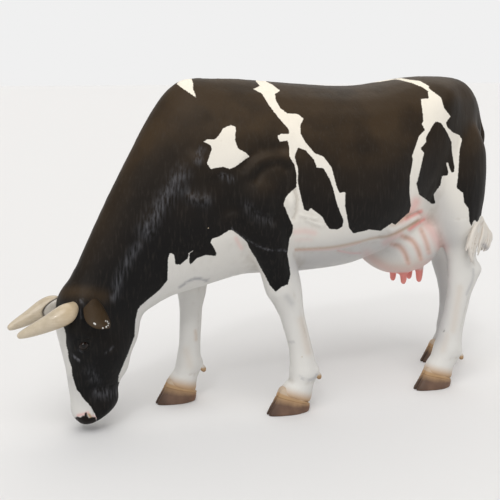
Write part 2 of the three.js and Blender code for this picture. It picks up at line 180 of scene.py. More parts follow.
def sighted(across, down, y):
    """The place that shows at a pixel and lies at y, in metres."""
    ray = FORWARD + RIGHT * (across - HALF_FRAME) / FOCAL + UP * (HALF_FRAME - down) / FOCAL
    return np.array(CAMERA_AT) + ray * (y - CAMERA_AT[1]) / ray[1]


def smooth_step(low, high, value):
    """0 at low, 1 at high, and an even S between; low may be the greater."""
    t = np.clip((value - low) / (high - low), 0, 1)
    return t * t * (3 - 2 * t)


def bell(distance, width):
    """1 at no distance, falling away to about a third at width."""
    return np.exp(-(distance / width) ** 2)


def line_distance(points, line):
    """Distance of each point to a chain of points, and how far along the chain its nearest place is, 0 to 1."""
    line = np.array(line, float)
    lengths = np.linalg.norm(np.diff(line, axis=0), axis=1)
    starts = np.concatenate([[0], np.cumsum(lengths)])
    best, along = np.full(len(points), np.inf), np.zeros(len(points))
    for i, length in enumerate(lengths):
        step = line[i + 1] - line[i]
        t = np.clip((points - line[i]) @ step / max(length ** 2, 1e-12), 0, 1)
        d = np.linalg.norm(points - line[i] - t[:, None] * step, axis=1)
        closer = d < best
        best = np.where(closer, d, best)
        along = np.where(closer, (starts[i] + t * length) / starts[-1], along)
    return best, along


def inside(points, outline):
    """Distance to a closed outline, in the plane: above zero inside, below zero outside."""
    line = np.array(list(outline) + [outline[0]], float)
    distance, _ = line_distance(points, line)
    x, y = points[:, 0], points[:, 1]
    crossings = np.zeros(len(points), bool)
    for (ax, ay), (bx, by) in zip(line[:-1], line[1:]):
        if ay != by:
            crossings ^= ((ay > y) != (by > y)) & (x < (bx - ax) * (y - ay) / (by - ay) + ax)
    return np.where(crossings, distance, -distance)


def rounded(line, closed=False):
    """A chain of points with its corners cut twice, as a brush rounds them."""
    line = np.array(list(line) + [line[0]] * closed, float)
    for _ in range(2):
        cuts = np.stack([0.75 * line[:-1] + 0.25 * line[1:], 0.25 * line[:-1] + 0.75 * line[1:]], 1).reshape(-1, 2)
        line = np.concatenate([cuts, cuts[:1]] if closed else [line[:1], cuts[1:-1], line[-1:]])
    return line


# ---------------------------------------------------------------- meshes as arrays

def get_points(mesh):
    co = np.empty(len(mesh.vertices) * 3)
    mesh.vertices.foreach_get("co", co)
    return co.reshape(-1, 3)


def get_normals(mesh):
    n = np.empty(len(mesh.vertices) * 3, np.float32)
    mesh.vertex_normals.foreach_get("vector", n)
    return n.reshape(-1, 3).astype(float)


def set_points(mesh, co):
    mesh.vertices.foreach_set("co", co.ravel())
    mesh.update()


def store(mesh, name, values):
    """Keeps a number for each point of a mesh, or a colour where values has three columns."""
    if values.ndim == 1:
        mesh.attributes.new(name, "FLOAT", "POINT").data.foreach_set("value", values.astype(np.float32))
    else:
        colour = np.concatenate([values, np.ones((len(values), 1))], 1).astype(np.float32)
        mesh.attributes.new(name, "FLOAT_COLOR", "POINT").data.foreach_set("color", colour.ravel())


def take(mesh, name):
    """Reads a stored number back, and clears it."""
    field = np.empty(len(mesh.vertices), np.float32)
    mesh.attributes[name].data.foreach_get("value", field)
    mesh.attributes.remove(mesh.attributes[name])
    return field.astype(float)


class Blur:
    """Averages a field over a mesh's neighbours."""

    def __init__(self, mesh):
        e = np.empty(len(mesh.edges) * 2, np.int64)
        mesh.edges.foreach_get("vertices", e)
        self.a, self.b = e[0::2], e[1::2]
        self.n = len(mesh.vertices)
        self.near = np.maximum(np.bincount(self.a, minlength=self.n) + np.bincount(self.b, minlength=self.n), 1)

    def mean(self, f):
        return (np.bincount(self.a, f[self.b], self.n) + np.bincount(self.b, f[self.a], self.n)) / self.near

    def field(self, f, rounds, rate=0.5):
        f = f.astype(float)
        for _ in range(rounds):
            f = f + rate * (self.mean(f) - f)
        return f

    def points(self, p, rounds, rate):
        p = p.copy()
        for _ in range(rounds):
            p += rate[:, None] * (np.stack([self.mean(p[:, k]) for k in range(3)], 1) - p)
        return p


def lumps(p, size, seed):
    """Soft noise at each point, about -1 to 1. size is the length of a lump along X, Y and Z, in metres."""
    shift = Vector((seed, seed * 2.3, seed * 3.1))
    return np.array([noise.noise(Vector(q) + shift) for q in p / np.array(size)])


def hollows(mesh, rounds, depth):
    """How deep each point lies in a hollow, 0 to 1, where the paint is darkened as painted shade and dirt; depth is
    that of a full one.
    """
    p = get_points(mesh)
    level = Blur(mesh).points(p, rounds, np.full(len(p), 0.5))
    return np.clip(((level - p) * get_normals(mesh)).sum(1) / depth, 0, 1)


# ---------------------------------------------------------------- outlines of the markings

LEFT_WHITE = [
    # down the front edge of the girth stripe
    (255, 70), (256, 81.5), (260, 86), (253, 89), (262, 93.5), (269, 105), (278, 117), (289, 129.5), (289, 134),
    (281, 134), (277.5, 136), (279.5, 141.5), (287.5, 140.5), (289, 145.5), (289.5, 156.5), (294.5, 165),
    (296.5, 174), (296.5, 187),
    # down the back of the shoulder and round the black of the foreleg
    (290.5, 192), (286, 197), (283.5, 204), (286, 210), (290, 219.5), (293, 226), (292.5, 233), (289.5, 238.5),
    (287.5, 253.5), (290.5, 274), (288, 284.5), (281.5, 287), (275.5, 292), (270, 285.5), (263, 272), (255.5, 258),
    (249, 247.5), (247, 242), (239, 235), (232, 230), (228.5, 230.5), (219.5, 236.5), (212.5, 238.5),
    (210.5, 242.5), (214, 247.5), (216.5, 253.5), (215.5, 256), (205.5, 255), (197.5, 258), (190.5, 264.5),
    (189, 262.5), (189.5, 253.5), (194.5, 249.5), (188.5, 253.5), (188, 258), (180.5, 264.5), (175.5, 264.5),
    (174, 254.5), (170, 253), (168, 258), (167.5, 280.5),
    # along the throat, and under the whole body
    (159.5, 290), (140.5, 306), (138, 309), (135.5, 320), (134.5, 336), (127.5, 355), (118.5, 376), (118.2, 382),
    (130, 384),
    (130, 620), (700, 620), (700, 215), (480.3, 215.6), (479, 219), (477.5, 223),
    # up the back edge of the rump stripe
    (476.2, 221.4), (475, 220), (473.3, 221.4), (471.3, 226.3), (469.3, 221.4), (469, 213.5), (468.4, 208.5),
    (464.2, 202.7), (463, 193), (456.5, 188), (458, 176), (459.5, 150),
    (462, 139.5), (459, 135), (453, 132.5), (447, 127), (446, 122.5), (450.5, 116.5), (444, 108), (441, 97.5),
    (431, 90), (428.5, 88), (429.5, 86.5), (420, 81), (408, 79.5), (396, 77), (396, 70), (383, 70), (384, 77.5),
    # and down its front edge
    (400, 80), (412, 83), (422, 87), (428, 91), (428.5, 98.5), (421, 99), (422, 108), (423.5, 120), (422, 124),
    (425, 130), (419, 136), (416, 145), (412, 156), (413, 160), (410, 175.5), (409.5, 191.5), (411, 205.5),
    # under the saddle
    (409.5, 212), (395, 225), (392, 223), (380.5, 231), (369.5, 229.5), (353.5, 233.5),
    # and up the back edge of the girth stripe
    (349, 228), (345, 205.5), (345.5, 192), (339.5, 193), (337, 188), (331.5, 167.5), (323.5, 156.5),
    (315, 153.5), (305.5, 142.5), (300.5, 133.5), (300.5, 125), (303.5, 118.5), (297.5, 114), (287.5, 113.5),
    (280, 108), (275.5, 99.5), (275, 94), (280, 90.5), (272, 84.5), (266, 81.5), (266, 70),
]
LEFT_STAR = [
    (203.5, 141.5), (207, 139.5), (215, 139.5), (219, 135.5), (223, 128.5), (231, 125), (236, 127.5),
    (235, 140.5), (238, 148.5), (245.5, 152.5), (249.5, 156.5), (243.5, 160.5), (235.5, 166.5), (230, 169),
    (223, 166.5), (211, 169), (207, 163.5), (212, 148.5), (210.5, 145),
]
LEFT_WITHERS = [(177, 84), (179, 74), (190.5, 74), (193, 83.5), (193, 89), (196.5, 97.5), (189.5, 93), (183.5, 89)]
LEFT_TEARDROP = [
    (298, 147.5), (306, 150.5), (314, 159.5), (317, 167.5), (323.5, 168), (329.5, 178.5), (333.5, 189.5),
    (337, 204), (343.5, 220), (342.5, 226.5), (337.5, 229.5), (329.5, 229), (325, 222.5), (322.5, 217),
    (315.5, 211.5), (310.5, 208), (308, 211.5), (304, 209.5), (301, 197.5), (298, 183.5), (298, 169),
    (294.5, 156.5),
]
LEFT_ISLAND = [
    (436, 121), (441, 123), (447, 132), (451.5, 142), (452, 152), (454.5, 167), (454, 172), (451.5, 172.5),
    (449.5, 168), (448, 162.5), (446.5, 162.5), (446.5, 165), (448.5, 172), (447.5, 175.5), (442, 176),
    (440.5, 185), (433.5, 194.5), (435.5, 203.5), (432, 204), (419, 194.5), (416.5, 183.5), (419, 175),
    (422, 162), (424, 153), (420.5, 148.5), (426, 142), (426, 137), (429, 132), (433, 125),
]
BLAZE = [
    (45, 318), (62, 322), (64, 327.5), (66, 335), (66, 344), (68, 352), (68.5, 359), (71.5, 366.5), (72, 374),
    (74, 381.5), (76.5, 389.5), (80.5, 394), (83.5, 399), (87.5, 403), (91, 407), (94, 412.5), (96.5, 418),
    (97, 432), (40, 432),
]
BLAZE_FAR = 0.03      # metres by which the blaze reaches further round on the right
BLAZE_BEHIND = -0.6   # x behind which there is no blaze

# The right side is painted to its own pattern. An outline there is (back, up), in metres, read off along a line of
# sight that slants backwards and upwards by SIDE_SLANT for each metre in from the side.
SIDE_SLANT = (0.513, 0.204)
RIGHT_WHITE = [
    (-0.12, 1.60), (-0.12, 1.42), (-0.16, 1.34), (-0.12, 1.27), (-0.03, 1.20), (0.03, 1.09), (0.00, 0.98),
    (0.04, 0.86), (0.02, 0.76), (0.03, 0.66), (-0.02, 0.60), (-0.12, 0.66), (-0.20, 0.74), (-0.30, 0.77),
    (-0.36, 0.72), (-0.44, 0.74), (-0.52, 0.66), (-0.60, 0.56), (-0.66, 0.46), (-0.69, 0.36), (-0.76, 0.21),
    (-0.70, 0.10), (-0.70, -0.3), (1.6, -0.3), (1.6, 0.76), (1.10, 0.78), (1.02, 0.80), (0.97, 0.90),
    (0.90, 0.96), (0.94, 1.06), (0.90, 1.16), (0.80, 1.20), (0.78, 1.30), (0.72, 1.37), (0.66, 1.40),
    (0.60, 1.60), (0.54, 1.60), (0.52, 1.40), (0.56, 1.30), (0.50, 1.20), (0.56, 1.12), (0.64, 1.06),
    (0.66, 0.96), (0.62, 0.86), (0.52, 0.80), (0.42, 0.82), (0.34, 0.76), (0.26, 0.80), (0.22, 0.92),
    (0.26, 1.04), (0.20, 1.14), (0.10, 1.20), (0.04, 1.30), (-0.03, 1.36), (-0.06, 1.42), (-0.06, 1.60),
]
RIGHT_PATCH = [
    (-0.40, 1.20), (-0.31, 1.25), (-0.23, 1.20), (-0.25, 1.12), (-0.19, 1.06), (-0.26, 0.99), (-0.34, 1.02),
    (-0.39, 1.10),
]
RIGHT_ISLAND = [(0.08, 1.08), (0.15, 1.06), (0.18, 0.96), (0.13, 0.86), (0.08, 0.90), (0.05, 1.0)]
RIGHT_WITHERS = [(-0.47, 1.41), (-0.46, 1.60), (-0.42, 1.60), (-0.42, 1.43), (-0.40, 1.38), (-0.44, 1.38)]
UNDERSIDE = (0.11, 0.70, -0.50)   # the white under chest and belly: its half width, its top and its front end


def smallest(*fields):
    return np.minimum.reduce(fields)


def largest(*fields):
    return np.maximum.reduce(fields)


def markings(p):
    """How far inside the white a point is, in metres; below zero in the black."""
    seen, pixel = side_view(p)
    slanted = np.stack([p[:, 0] + SIDE_SLANT[0] * p[:, 1], p[:, 2] - SIDE_SLANT[1] * p[:, 1]], 1)
    left = p[:, 1] < 0
    white = np.empty(len(p))
    near, far = seen[left], slanted[~left]
    white[left] = pixel[left] * largest(
        smallest(inside(near, LEFT_WHITE), -inside(near, LEFT_TEARDROP), -inside(near, LEFT_ISLAND)),
        inside(near, LEFT_STAR),
        inside(near, LEFT_WITHERS),
    )
    white[~left] = largest(
        smallest(inside(far, rounded(RIGHT_WHITE, True)), -inside(far, rounded(RIGHT_ISLAND, True))),
        inside(far, rounded(RIGHT_PATCH, True)),
        inside(far, rounded(RIGHT_WITHERS, True)),
    )
    half, top, front = UNDERSIDE
    under = smallest(half - np.abs(p[:, 1]), top - p[:, 2], p[:, 0] - front)
    blaze = inside(seen, BLAZE) * pixel + np.where(left, 0.0, BLAZE_FAR)
    return largest(white, under, np.where(p[:, 0] < BLAZE_BEHIND, blaze, -1.0))


# ---------------------------------------------------------------- carved lines and swellings

# The same on both sides. A line is its places in the frame, then its half width and height in metres; a swelling is
# its middle, its half length and half height in pixels, and its rise in metres.
MILK_VEIN = [(295.5, 250), (329, 250), (345.5, 247), (360, 242.5)]
SIDE_VEIN = [(338, 250.5), (351, 253.5), (360, 253)]
FLANK_TUCK = [(421, 211.5), (412.5, 215), (405.5, 219)]
UDDER_VEINS = [
    [(391.5, 244), (400, 246), (405.5, 254), (408.5, 263.5)],
    [(402, 236), (412.5, 240), (418, 249.5), (421, 259.5)],
    [(421, 229), (426.5, 241.5), (429, 252.5)],
]
BODY_LINES = [
    # the round of the upper arm over the elbow
    ([(246, 182), (247.5, 174.5), (256.5, 162.5), (270.5, 157), (286, 157), (293.5, 166)], 0.022, 0.010),
    ([(238, 175.5), (249, 159.5), (261, 150.5), (275, 148.5), (288, 151.5)], 0.020, -0.009),
    ([(255.5, 186.5), (257.5, 176.5), (266.5, 168), (280.5, 164.5), (290, 173.5)], 0.016, -0.006),
    ([(246, 203.5), (256.5, 215.5), (270.5, 221), (279.5, 216.5)], 0.018, -0.010),
    # where the mould of the foreleg was joined on
    ([(231.5, 226.5), (246, 235), (261, 246), (275, 251.5), (288, 252)], 0.0045, 0.0028),
    # elbow crease and the wrinkles behind it
    ([(293.5, 186.5), (297, 199.5), (296, 212.5), (292.5, 222)], 0.010, -0.010),
    ([(298, 214.5), (307.5, 216.5), (318.5, 219)], 0.006, 0.004),
    ([(305.5, 219), (314, 223), (325, 226.5)], 0.006, 0.004),
    # milk veins
    (MILK_VEIN + [(372, 240), (387, 239)], 0.006, 0.003),
    (SIDE_VEIN, 0.007, 0.004),
    # folds where the flank runs down to the udder
    ([(425, 217), (418, 220.5), (407, 227.5), (395.5, 233.5), (386, 237), (375, 238)], 0.009, -0.007),
    ([(422, 215), (409.5, 220.5), (398.5, 226.5), (387.5, 232.5)], 0.014, 0.011),
    (FLANK_TUCK, 0.011, -0.010),
    # the neck's long muscle, the fold under it and the hollow before the shoulder
    ([(200.5, 150.5), (189, 167.5), (175, 185), (158, 217), (143, 236.5)], 0.035, 0.011),
    ([(184.5, 196.5), (200.5, 201), (212, 197.5)], 0.016, 0.008),
    ([(216.5, 173.5), (223.5, 196.5), (232.5, 217)], 0.045, -0.016),
]
UDDER_LINES = [(line, 0.013, -0.005) for line in UDDER_VEINS]
BODY_SWELLINGS = [
    ((267.5, 195), 18, 16, 0.014),
    ((279.5, 234), 12, 18, 0.010),
    ((290.5, 202.5), 5, 10, 0.014),
    ((404, 130), 19, 19, -0.014),
]
HEAD_LINES = [
    ([(87.5, 392), (91, 404), (95, 417)], 0.0045, -0.005),                 # mouth
    ([(72, 354.5), (76, 357.5), (80, 361)], 0.0035, -0.003),               # tear duct
    ([(106, 353), (110, 350.5), (113, 346.5)], 0.006, -0.004),             # cheek crease
    ([(81, 297), (82, 306), (82, 318)], 0.006, 0.005),                     # ridge between horn and ear
    ([(92, 352), (90, 366), (88, 380)], 0.012, 0.004),                     # bone of the face
    ([(86.5, 391), (97.5, 389.5), (115, 386)], 0.009, -0.006),             # above the chin
]
# Forms of the head as (x, y, z, reach, rise) in metres, on both sides.
HEAD_SWELLINGS = [
    (-0.785, 0.000, 0.125, 0.045, 0.006), (-0.955, 0.020, 0.080, 0.040, 0.006),
    (-0.915, 0.078, 0.098, 0.020, 0.005), (-0.918, 0.066, 0.080, 0.0085, -0.012),
    (-0.955, 0.092, 0.425, 0.022, 0.006), (-0.815, 0.100, 0.330, 0.070, 0.008),
    (-0.900, 0.108, 0.455, 0.030, -0.006), (-0.985, 0.000, 0.590, 0.050, 0.010),
    (-0.985, 0.098, 0.548, 0.032, 0.010), (-0.925, 0.085, 0.555, 0.040, 0.018),
]
# Forms of a leg, by how far back across it (0 to 1), height, half length, half height and rise.
FORELEG_FORMS = [
    (0.72, 0.35, 0.006, 0.13, -0.0030), (0.88, 0.35, 0.006, 0.12, 0.0012), (0.35, 0.55, 0.028, 0.035, 0.0045),
    (0.62, 0.525, 0.016, 0.030, -0.0035), (0.40, 0.455, 0.020, 0.020, -0.0025), (0.45, 0.175, 0.030, 0.026, 0.0035),
    (0.66, 0.132, 0.040, 0.007, -0.0035), (0.30, 0.66, 0.030, 0.08, 0.0040), (0.62, 0.68, 0.012, 0.08, -0.0040),
]
HINDLEG_FORMS = [
    (0.72, 0.36, 0.006, 0.13, -0.0030), (0.88, 0.36, 0.006, 0.12, 0.0012), (0.34, 0.53, 0.030, 0.035, 0.0045),
    (0.66, 0.585, 0.018, 0.030, -0.0055), (0.70, 0.68, 0.014, 0.060, -0.0075), (0.45, 0.180, 0.032, 0.028, 0.0035),
    (0.66, 0.137, 0.042, 0.007, -0.0035), (0.40, 0.76, 0.050, 0.070, 0.0040),
]
LINE_END = 0.12            # the share of a carved line over which each end dies away
SIDE_FACING = (0.0, 0.35)  # lines are carved where the surface turns this far outwards, from none to all
LEG_FACING = (0.25, 0.8)   # and the forms of a leg on its two flat sides
def sculpt(mesh, lines, swellings, mask):
    """Moves a mesh's points in or out along their normals."""
    p, n = get_points(mesh), get_normals(mesh)
    seen, pixel = side_view(p)
    outward = smooth_step(*SIDE_FACING, n[:, 1] * np.sign(p[:, 1]))
    rise = np.zeros(len(p))
    for line, width, height in lines:
        d, along = line_distance(seen, line)
        rise += height * bell(d * pixel, width) * smooth_step(0, LINE_END, along) * smooth_step(1, 1 - LINE_END, along)
    for (across, down), length, tall, height in swellings:
        rise += height * bell(np.hypot((seen[:, 0] - across) / length, (seen[:, 1] - down) / tall), 1)
    set_points(mesh, p + n * (rise * mask * outward)[:, None])


def swell(mesh, rows, mask):
    """Raises or sinks round places, on both sides."""
    p, n = get_points(mesh), get_normals(mesh)
    folded = np.stack([p[:, 0], np.abs(p[:, 1]), p[:, 2]], 1)
    rise = sum(height * bell(np.linalg.norm(folded - np.array([x, y, z]), axis=1), reach)
               for x, y, z, reach, height in rows)
    set_points(mesh, p + n * (rise * mask)[:, None])


def shape_legs(mesh, share):
    """Tendons, joints and hollows on both faces of every leg. share holds (foot's points, across, length)."""
    p, n = get_points(mesh), get_normals(mesh)
    rise = np.zeros(len(p))
    for chosen, across, length, forms in share:
        z = p[chosen, 2]
        for back, height, long, tall, up in forms:
            rise[chosen] += up * bell(np.hypot((across - back) * length / long, (z - height) / tall), 1)
    face = smooth_step(*LEG_FACING, np.abs(n[:, 1]))
    set_points(mesh, p + n * (rise * face)[:, None])


# ---------------------------------------------------------------- the moulded skin

FINE_VOXEL = 0.0055                             # metres
VOXEL = FINE_VOXEL
OVERLAP = 0.001                                 # neighbours grow by this, so that the fitting gaps close
SAME_PLACE = 1e-5                               # points closer than this are one
SKIN_LIMIT = 186000                             # triangles before the face is refined

LEG_NAMES = ["leg_fore_left", "leg_fore_right", "leg_hind_left", "leg_hind_right"]
TEAT_NAMES = ["teat_front_left", "teat_front_right", "teat_rear_left", "teat_rear_right"]
SKIN_NODES = ["trunk", "neck", "head", *LEG_NAMES, "udder", *TEAT_NAMES, "tail"]

# Each foot: where its sole begins and ends, its track, and how high the coronet stands in front and behind.
FEET = {
    "fore_left": (-0.157, 0.042, -0.195, 0.102, 0.032), "fore_right": (-0.531, -0.343, 0.162, 0.096, 0.042),
    "hind_left": (0.620, 0.810, -0.203, 0.092, 0.036), "hind_right": (0.922, 1.112, 0.150, 0.094, 0.040),
}
KNOB_SIZE = (0.029, 0.043, 0.033)   # half length, width and height of the lump that carries a foot's dewclaws
KNOB_AHEAD, KNOB_BELOW = 0.017, 0.004   # how far it sits before their middle and under their top


def merged_copy(node, grow):
    """A copy of a CAD node with its loose triangles merged, grown outwards a little."""
    piece = bpy.data.objects.new(node + "_copy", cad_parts[node].data.copy())
    bpy.context.scene.collection.objects.link(piece)
    shape = bmesh.new()
    shape.from_mesh(piece.data)
    bmesh.ops.remove_doubles(shape, verts=shape.verts, dist=SAME_PLACE)
    shape.normal_update()
    for v in shape.verts:
        v.co += v.normal * grow
    shape.to_mesh(piece.data)
    shape.free()
    piece.data.materials.clear()
    return piece


def fetlock_knob(foot):
    """The flesh behind a fetlock, over the roots of the dewclaws."""
    low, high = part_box(f"dewclaw_{foot}_inner")
    bpy.ops.object.select_all(action="DESELECT")
    bpy.ops.mesh.primitive_uv_sphere_add(segments=24, ring_count=14, radius=1)
    knob = bpy.context.object
    knob.location = ((low.x + high.x) / 2 - KNOB_AHEAD, FEET[foot][2], high.z - KNOB_BELOW)
    knob.scale = KNOB_SIZE
    settle(knob)
    return knob


def keep_largest(piece):
    """Deletes everything but the largest connected part of a mesh."""
    shape = bmesh.new()
    shape.from_mesh(piece.data)
    seen, best = set(), []
    for v in shape.verts:
        if v.index in seen:
            continue
        part, queue = [], [v]
        seen.add(v.index)
        while queue:
            w = queue.pop()
            part.append(w)
            for e in w.link_edges:
                o = e.other_vert(w)
                if o.index not in seen:
                    seen.add(o.index)
                    queue.append(o)
        if len(part) > len(best):
            best = part
    chosen = set(v.index for v in best)
    bmesh.ops.delete(shape, geom=[v for v in shape.verts if v.index not in chosen], context="VERTS")
    shape.to_mesh(piece.data)
    shape.free()


def skin_blank():
    """One closed mesh over all the flesh, and for each of its points the CAD node that it lies on."""
    copies = [merged_copy(n, OVERLAP) for n in SKIN_NODES]
    points, faces, owner = [], [], []
    for k, c in enumerate(copies):
        start = len(points)
        points += [v.co.copy() for v in c.data.vertices]
        faces += [[start + i for i in p.vertices] for p in c.data.polygons]
        owner += [k] * len(c.data.polygons)
    tree = BVHTree.FromPolygons(points, faces)
    copies += [merged_copy(f"eye_{name}", OVERLAP) for name in ("left", "right")]
    copies += [fetlock_knob(foot) for foot in FEET]
    pick_only(*copies)
    bpy.ops.object.join()
    skin = bpy.context.object
    skin.name = skin.data.name = "painted_skin"
    skin.data.remesh_voxel_size = VOXEL
    skin.data.use_remesh_fix_poles = False
    skin.data.use_remesh_preserve_volume = False
    bpy.ops.object.voxel_remesh()
    keep_largest(skin)
    labels = np.array([owner[tree.find_nearest(v.co)[2]] for v in skin.data.vertices])
    return skin, labels


def refine(piece, spots):
    """Divides the faces round each spot, (middle, reach, cuts), so that small forms can be carved there."""
    pick_only(piece)
    bpy.ops.object.mode_set(mode="EDIT")
    bpy.ops.mesh.select_mode(type="FACE")
    for middle, reach, cuts in spots:
        bpy.ops.mesh.select_all(action="DESELECT")
        shape = bmesh.from_edit_mesh(piece.data)
        for face in shape.faces:
            if (face.calc_center_median() - Vector(middle)).length < reach:
                face.select_set(True)
        bmesh.update_edit_mesh(piece.data)
        bpy.ops.mesh.subdivide(number_cuts=cuts)
    bpy.ops.mesh.select_all(action="SELECT")
    bpy.ops.mesh.quads_convert_to_tris()
    bpy.ops.object.mode_set(mode="OBJECT")


EYE_AT, EYE_RADIUS = (-0.938, 0.098, 0.391), 0.0225
EYE_LOOKS = (-0.25, 0.95, 0.12)        # out of the left eye, with Y turned over
EYE_LENGTHWAYS = (0.93, 0.20, 0.30)    # from its inner corner to its outer one
LID_LONG, LID_TALL, LID_THICK = 0.0205, 0.0145, 0.0028   # half length and height of the slit, and the lid's edge
LID_POINTED = 1.6                   # 2 would make the slit an ellipse, and 1 a diamond
# Places round the slit, where 1 is its edge and 2 is twice as far out.
SLIT_EDGE = (1.06, 0.90)            # between these the lid's edge turns in to the ball
LID_ENDS = (1.35, 2.5)              # between these the lid runs out into the socket
FOLD_AT, FOLD_WIDE = 2.05, 0.22     # the crease round the lids
# And in metres.
FOLD_DEEP, LOWER_FOLD = 0.0022, 0.6   # the crease's depth, and its share of that below the eye
BALL_CLEAR = 0.0045                 # how far the skin passes under the ball's surface in the slit
EYE_AREA, EYE_DEEP = 0.052, 0.03    # the skin that belongs to the eye: its reach, and how far in
SOCKET_FROM = 0.036                 # the socket is a curved sheet laid through the skin beyond this
LID_BLEND = (0.050, 0.034)          # between these the old form gives way to the new


def eye_axes(side):
    looks = np.array(EYE_LOOKS) * (1, side, 1)
    looks /= np.linalg.norm(looks)
    along = np.array(EYE_LENGTHWAYS) * (1, side, 1)
    along -= looks * (along @ looks)
    along /= np.linalg.norm(along)
    up = np.cross(looks, along)
    return looks, along, up * np.sign(up[2])


def eyelids(mesh, side):
    """Fairs the socket, stretches two lids over the eyeball and opens a pointed slit between them."""
    looks, along, up = eye_axes(side)
    p = get_points(mesh)
    away = p - np.array([EYE_AT[0], side * EYE_AT[1], EYE_AT[2]])
    s, t, w = away @ along, away @ up, away @ looks
    near = (np.hypot(s, t) < EYE_AREA) & (w > -EYE_DEEP)
    s, t, w = s[near], t[near], w[near]
    terms = np.stack([np.ones(len(s)), s, t, s * s, s * t, t * t], 1)
    rim = np.hypot(s, t) > SOCKET_FROM
    socket = terms @ np.linalg.lstsq(terms[rim], w[rim], rcond=None)[0]
    reach = ((np.abs(s) / LID_LONG) ** LID_POINTED + (np.abs(t) / LID_TALL) ** LID_POINTED) ** (1 / LID_POINTED)
    ball = np.sqrt(np.maximum(EYE_RADIUS ** 2 - s * s - t * t, 0))
    lid = np.maximum(ball + LID_THICK, socket)
    fold = -FOLD_DEEP * bell(reach - FOLD_AT, FOLD_WIDE) * np.where(t > 0, 1.0, LOWER_FOLD)
    lid = lid + (socket - lid) * smooth_step(*LID_ENDS, reach) + fold
    wanted = lid + (ball - BALL_CLEAR - lid) * smooth_step(*SLIT_EDGE, reach)
    blend = smooth_step(*LID_BLEND, np.hypot(s, t))
    p[near] += looks * ((wanted - w) * blend)[:, None]
    set_points(mesh, p)


LEG_FROM, LEG_TO = 0.07, 0.80     # heights between which a leg's front and back edges are traced
LEG_SLICE, SLICE_HALF = 0.02, 0.012
LEG_SLACK = 0.01                  # the skin may stand this far beyond the CAD leg


def across_legs(mesh, leg, forms_of):
    """For each leg, its points, how far back across it each lies, and how long the leg is there."""
    p = get_points(mesh)
    out = []
    for foot, forms in forms_of.items():
        low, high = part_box(f"leg_{foot}")
        chosen = np.flatnonzero((leg > 0.5) & (p[:, 1] * FEET[foot][2] > 0) & (p[:, 0] > low.x - LEG_SLACK)
                                & (p[:, 0] < high.x + LEG_SLACK) & (p[:, 2] < LEG_TO))
        x, z = p[chosen, 0], p[chosen, 2]
        heights = np.arange(LEG_FROM, LEG_TO, LEG_SLICE)
        ends = np.array([np.percentile(x[np.abs(z - h) < SLICE_HALF], (1, 99)) for h in heights])
        front, back = np.interp(z, heights, ends[:, 0]), np.interp(z, heights, ends[:, 1])
        out.append((chosen, (x - front) / (back - front), back - front, forms))
    return out


# Airbrushed tints. A stroke is its places in the frame, half width in metres and strength.
PINK_STROKES = [
    (FLANK_TUCK, 0.010, 0.85),
    ([(424, 219.5), (419.5, 222), (409.5, 229)], 0.010, 0.85),
    ([(416, 202), (413, 210), (402, 219)], 0.022, 0.45),
    (UDDER_VEINS[0], 0.013, 0.38),
    (UDDER_VEINS[1], 0.013, 0.38),
    (UDDER_VEINS[2], 0.014, 0.35),
    ([(424, 220), (432, 230), (438, 240), (442, 247)], 0.030, 0.38),
    ([(366.5, 254), (376, 262.5), (389, 270), (407, 272), (421, 267), (431, 262)], 0.024, 0.30),
    ([(385, 243), (392, 238), (400, 233)], 0.016, 0.35),
    ([(295.5, 232), (304.5, 231), (314, 233)], 0.014, 0.22),
    ([(296.5, 239.5), (311, 239.5)], 0.010, 0.12),
    (MILK_VEIN, 0.0045, 0.32),
    (SIDE_VEIN, 0.005, 0.45),
    ([(236, 238.5), (241.5, 248)], 0.009, 0.25),
    ([(78, 415.5), (84, 414), (88, 412.5)], 0.006, 0.50),
    ([(93, 415.5), (96, 418)], 0.004, 0.50),
]
TAN_STROKES = [
    ([(418, 220.5), (407, 227.5), (395.5, 233.5), (386, 237), (375, 237.5), (357, 242.5), (330, 248),
      (296, 249.5)], 0.006, 0.62),
    ([(409, 213.5), (395, 226), (391, 225)], 0.008, 0.35),
    (UDDER_VEINS[0], 0.010, 0.38),
    (UDDER_VEINS[1], 0.010, 0.38),
    (UDDER_VEINS[2], 0.010, 0.28),
    ([(372, 258), (386, 266), (400, 268), (420, 262)], 0.030, 0.18),
    ([(89, 414.5), (91, 417.5)], 0.006, 1.0),
]
LEG_STAINS = [   # soft brown in the lower legs: a stroke in the frame, on whichever leg shows there
    ([(301, 320), (305, 337), (308, 352)], 0.018, 0.20),
    ([(453, 330), (457, 305), (460, 288)], 0.018, 0.18),
    ([(443, 350), (447, 335)], 0.016, 0.16),
    ([(195.5, 331), (196, 340)], 0.007, 0.35),
    ([(186, 350), (190, 366)], 0.018, 0.14),
]
SHADES = [       # painted shade in cool grey: where the coat turns away from the light, along creases, and where one leg passes behind another
    ([(438, 200), (446, 218), (452, 240)], 0.060, 0.35),
    ([(300, 262), (330, 258), (362, 250), (385, 244)], 0.070, 0.45),
    ([(180, 287), (190.5, 279.5), (200, 278), (207, 281)], 0.005, 0.70),
    ([(287, 297), (292, 303)], 0.014, 0.30),
    ([(289.5, 342), (294, 342)], 0.005, 0.35),
    ([(299.5, 376.5), (305.5, 380.5), (313.5, 379.5), (317, 374.5)], 0.005, 0.50),
    ([(444, 249), (447, 257), (447.5, 267), (448, 280), (446.5, 298)], 0.008, 0.35),
    ([(473, 269.5), (473.5, 277), (471, 284.5), (466.5, 294)], 0.006, 0.35),
    ([(72, 380), (80, 395), (90, 408)], 0.030, 0.25),
    ([(437, 262), (441, 285), (441, 310), (436, 335)], 0.050, 0.40),
]
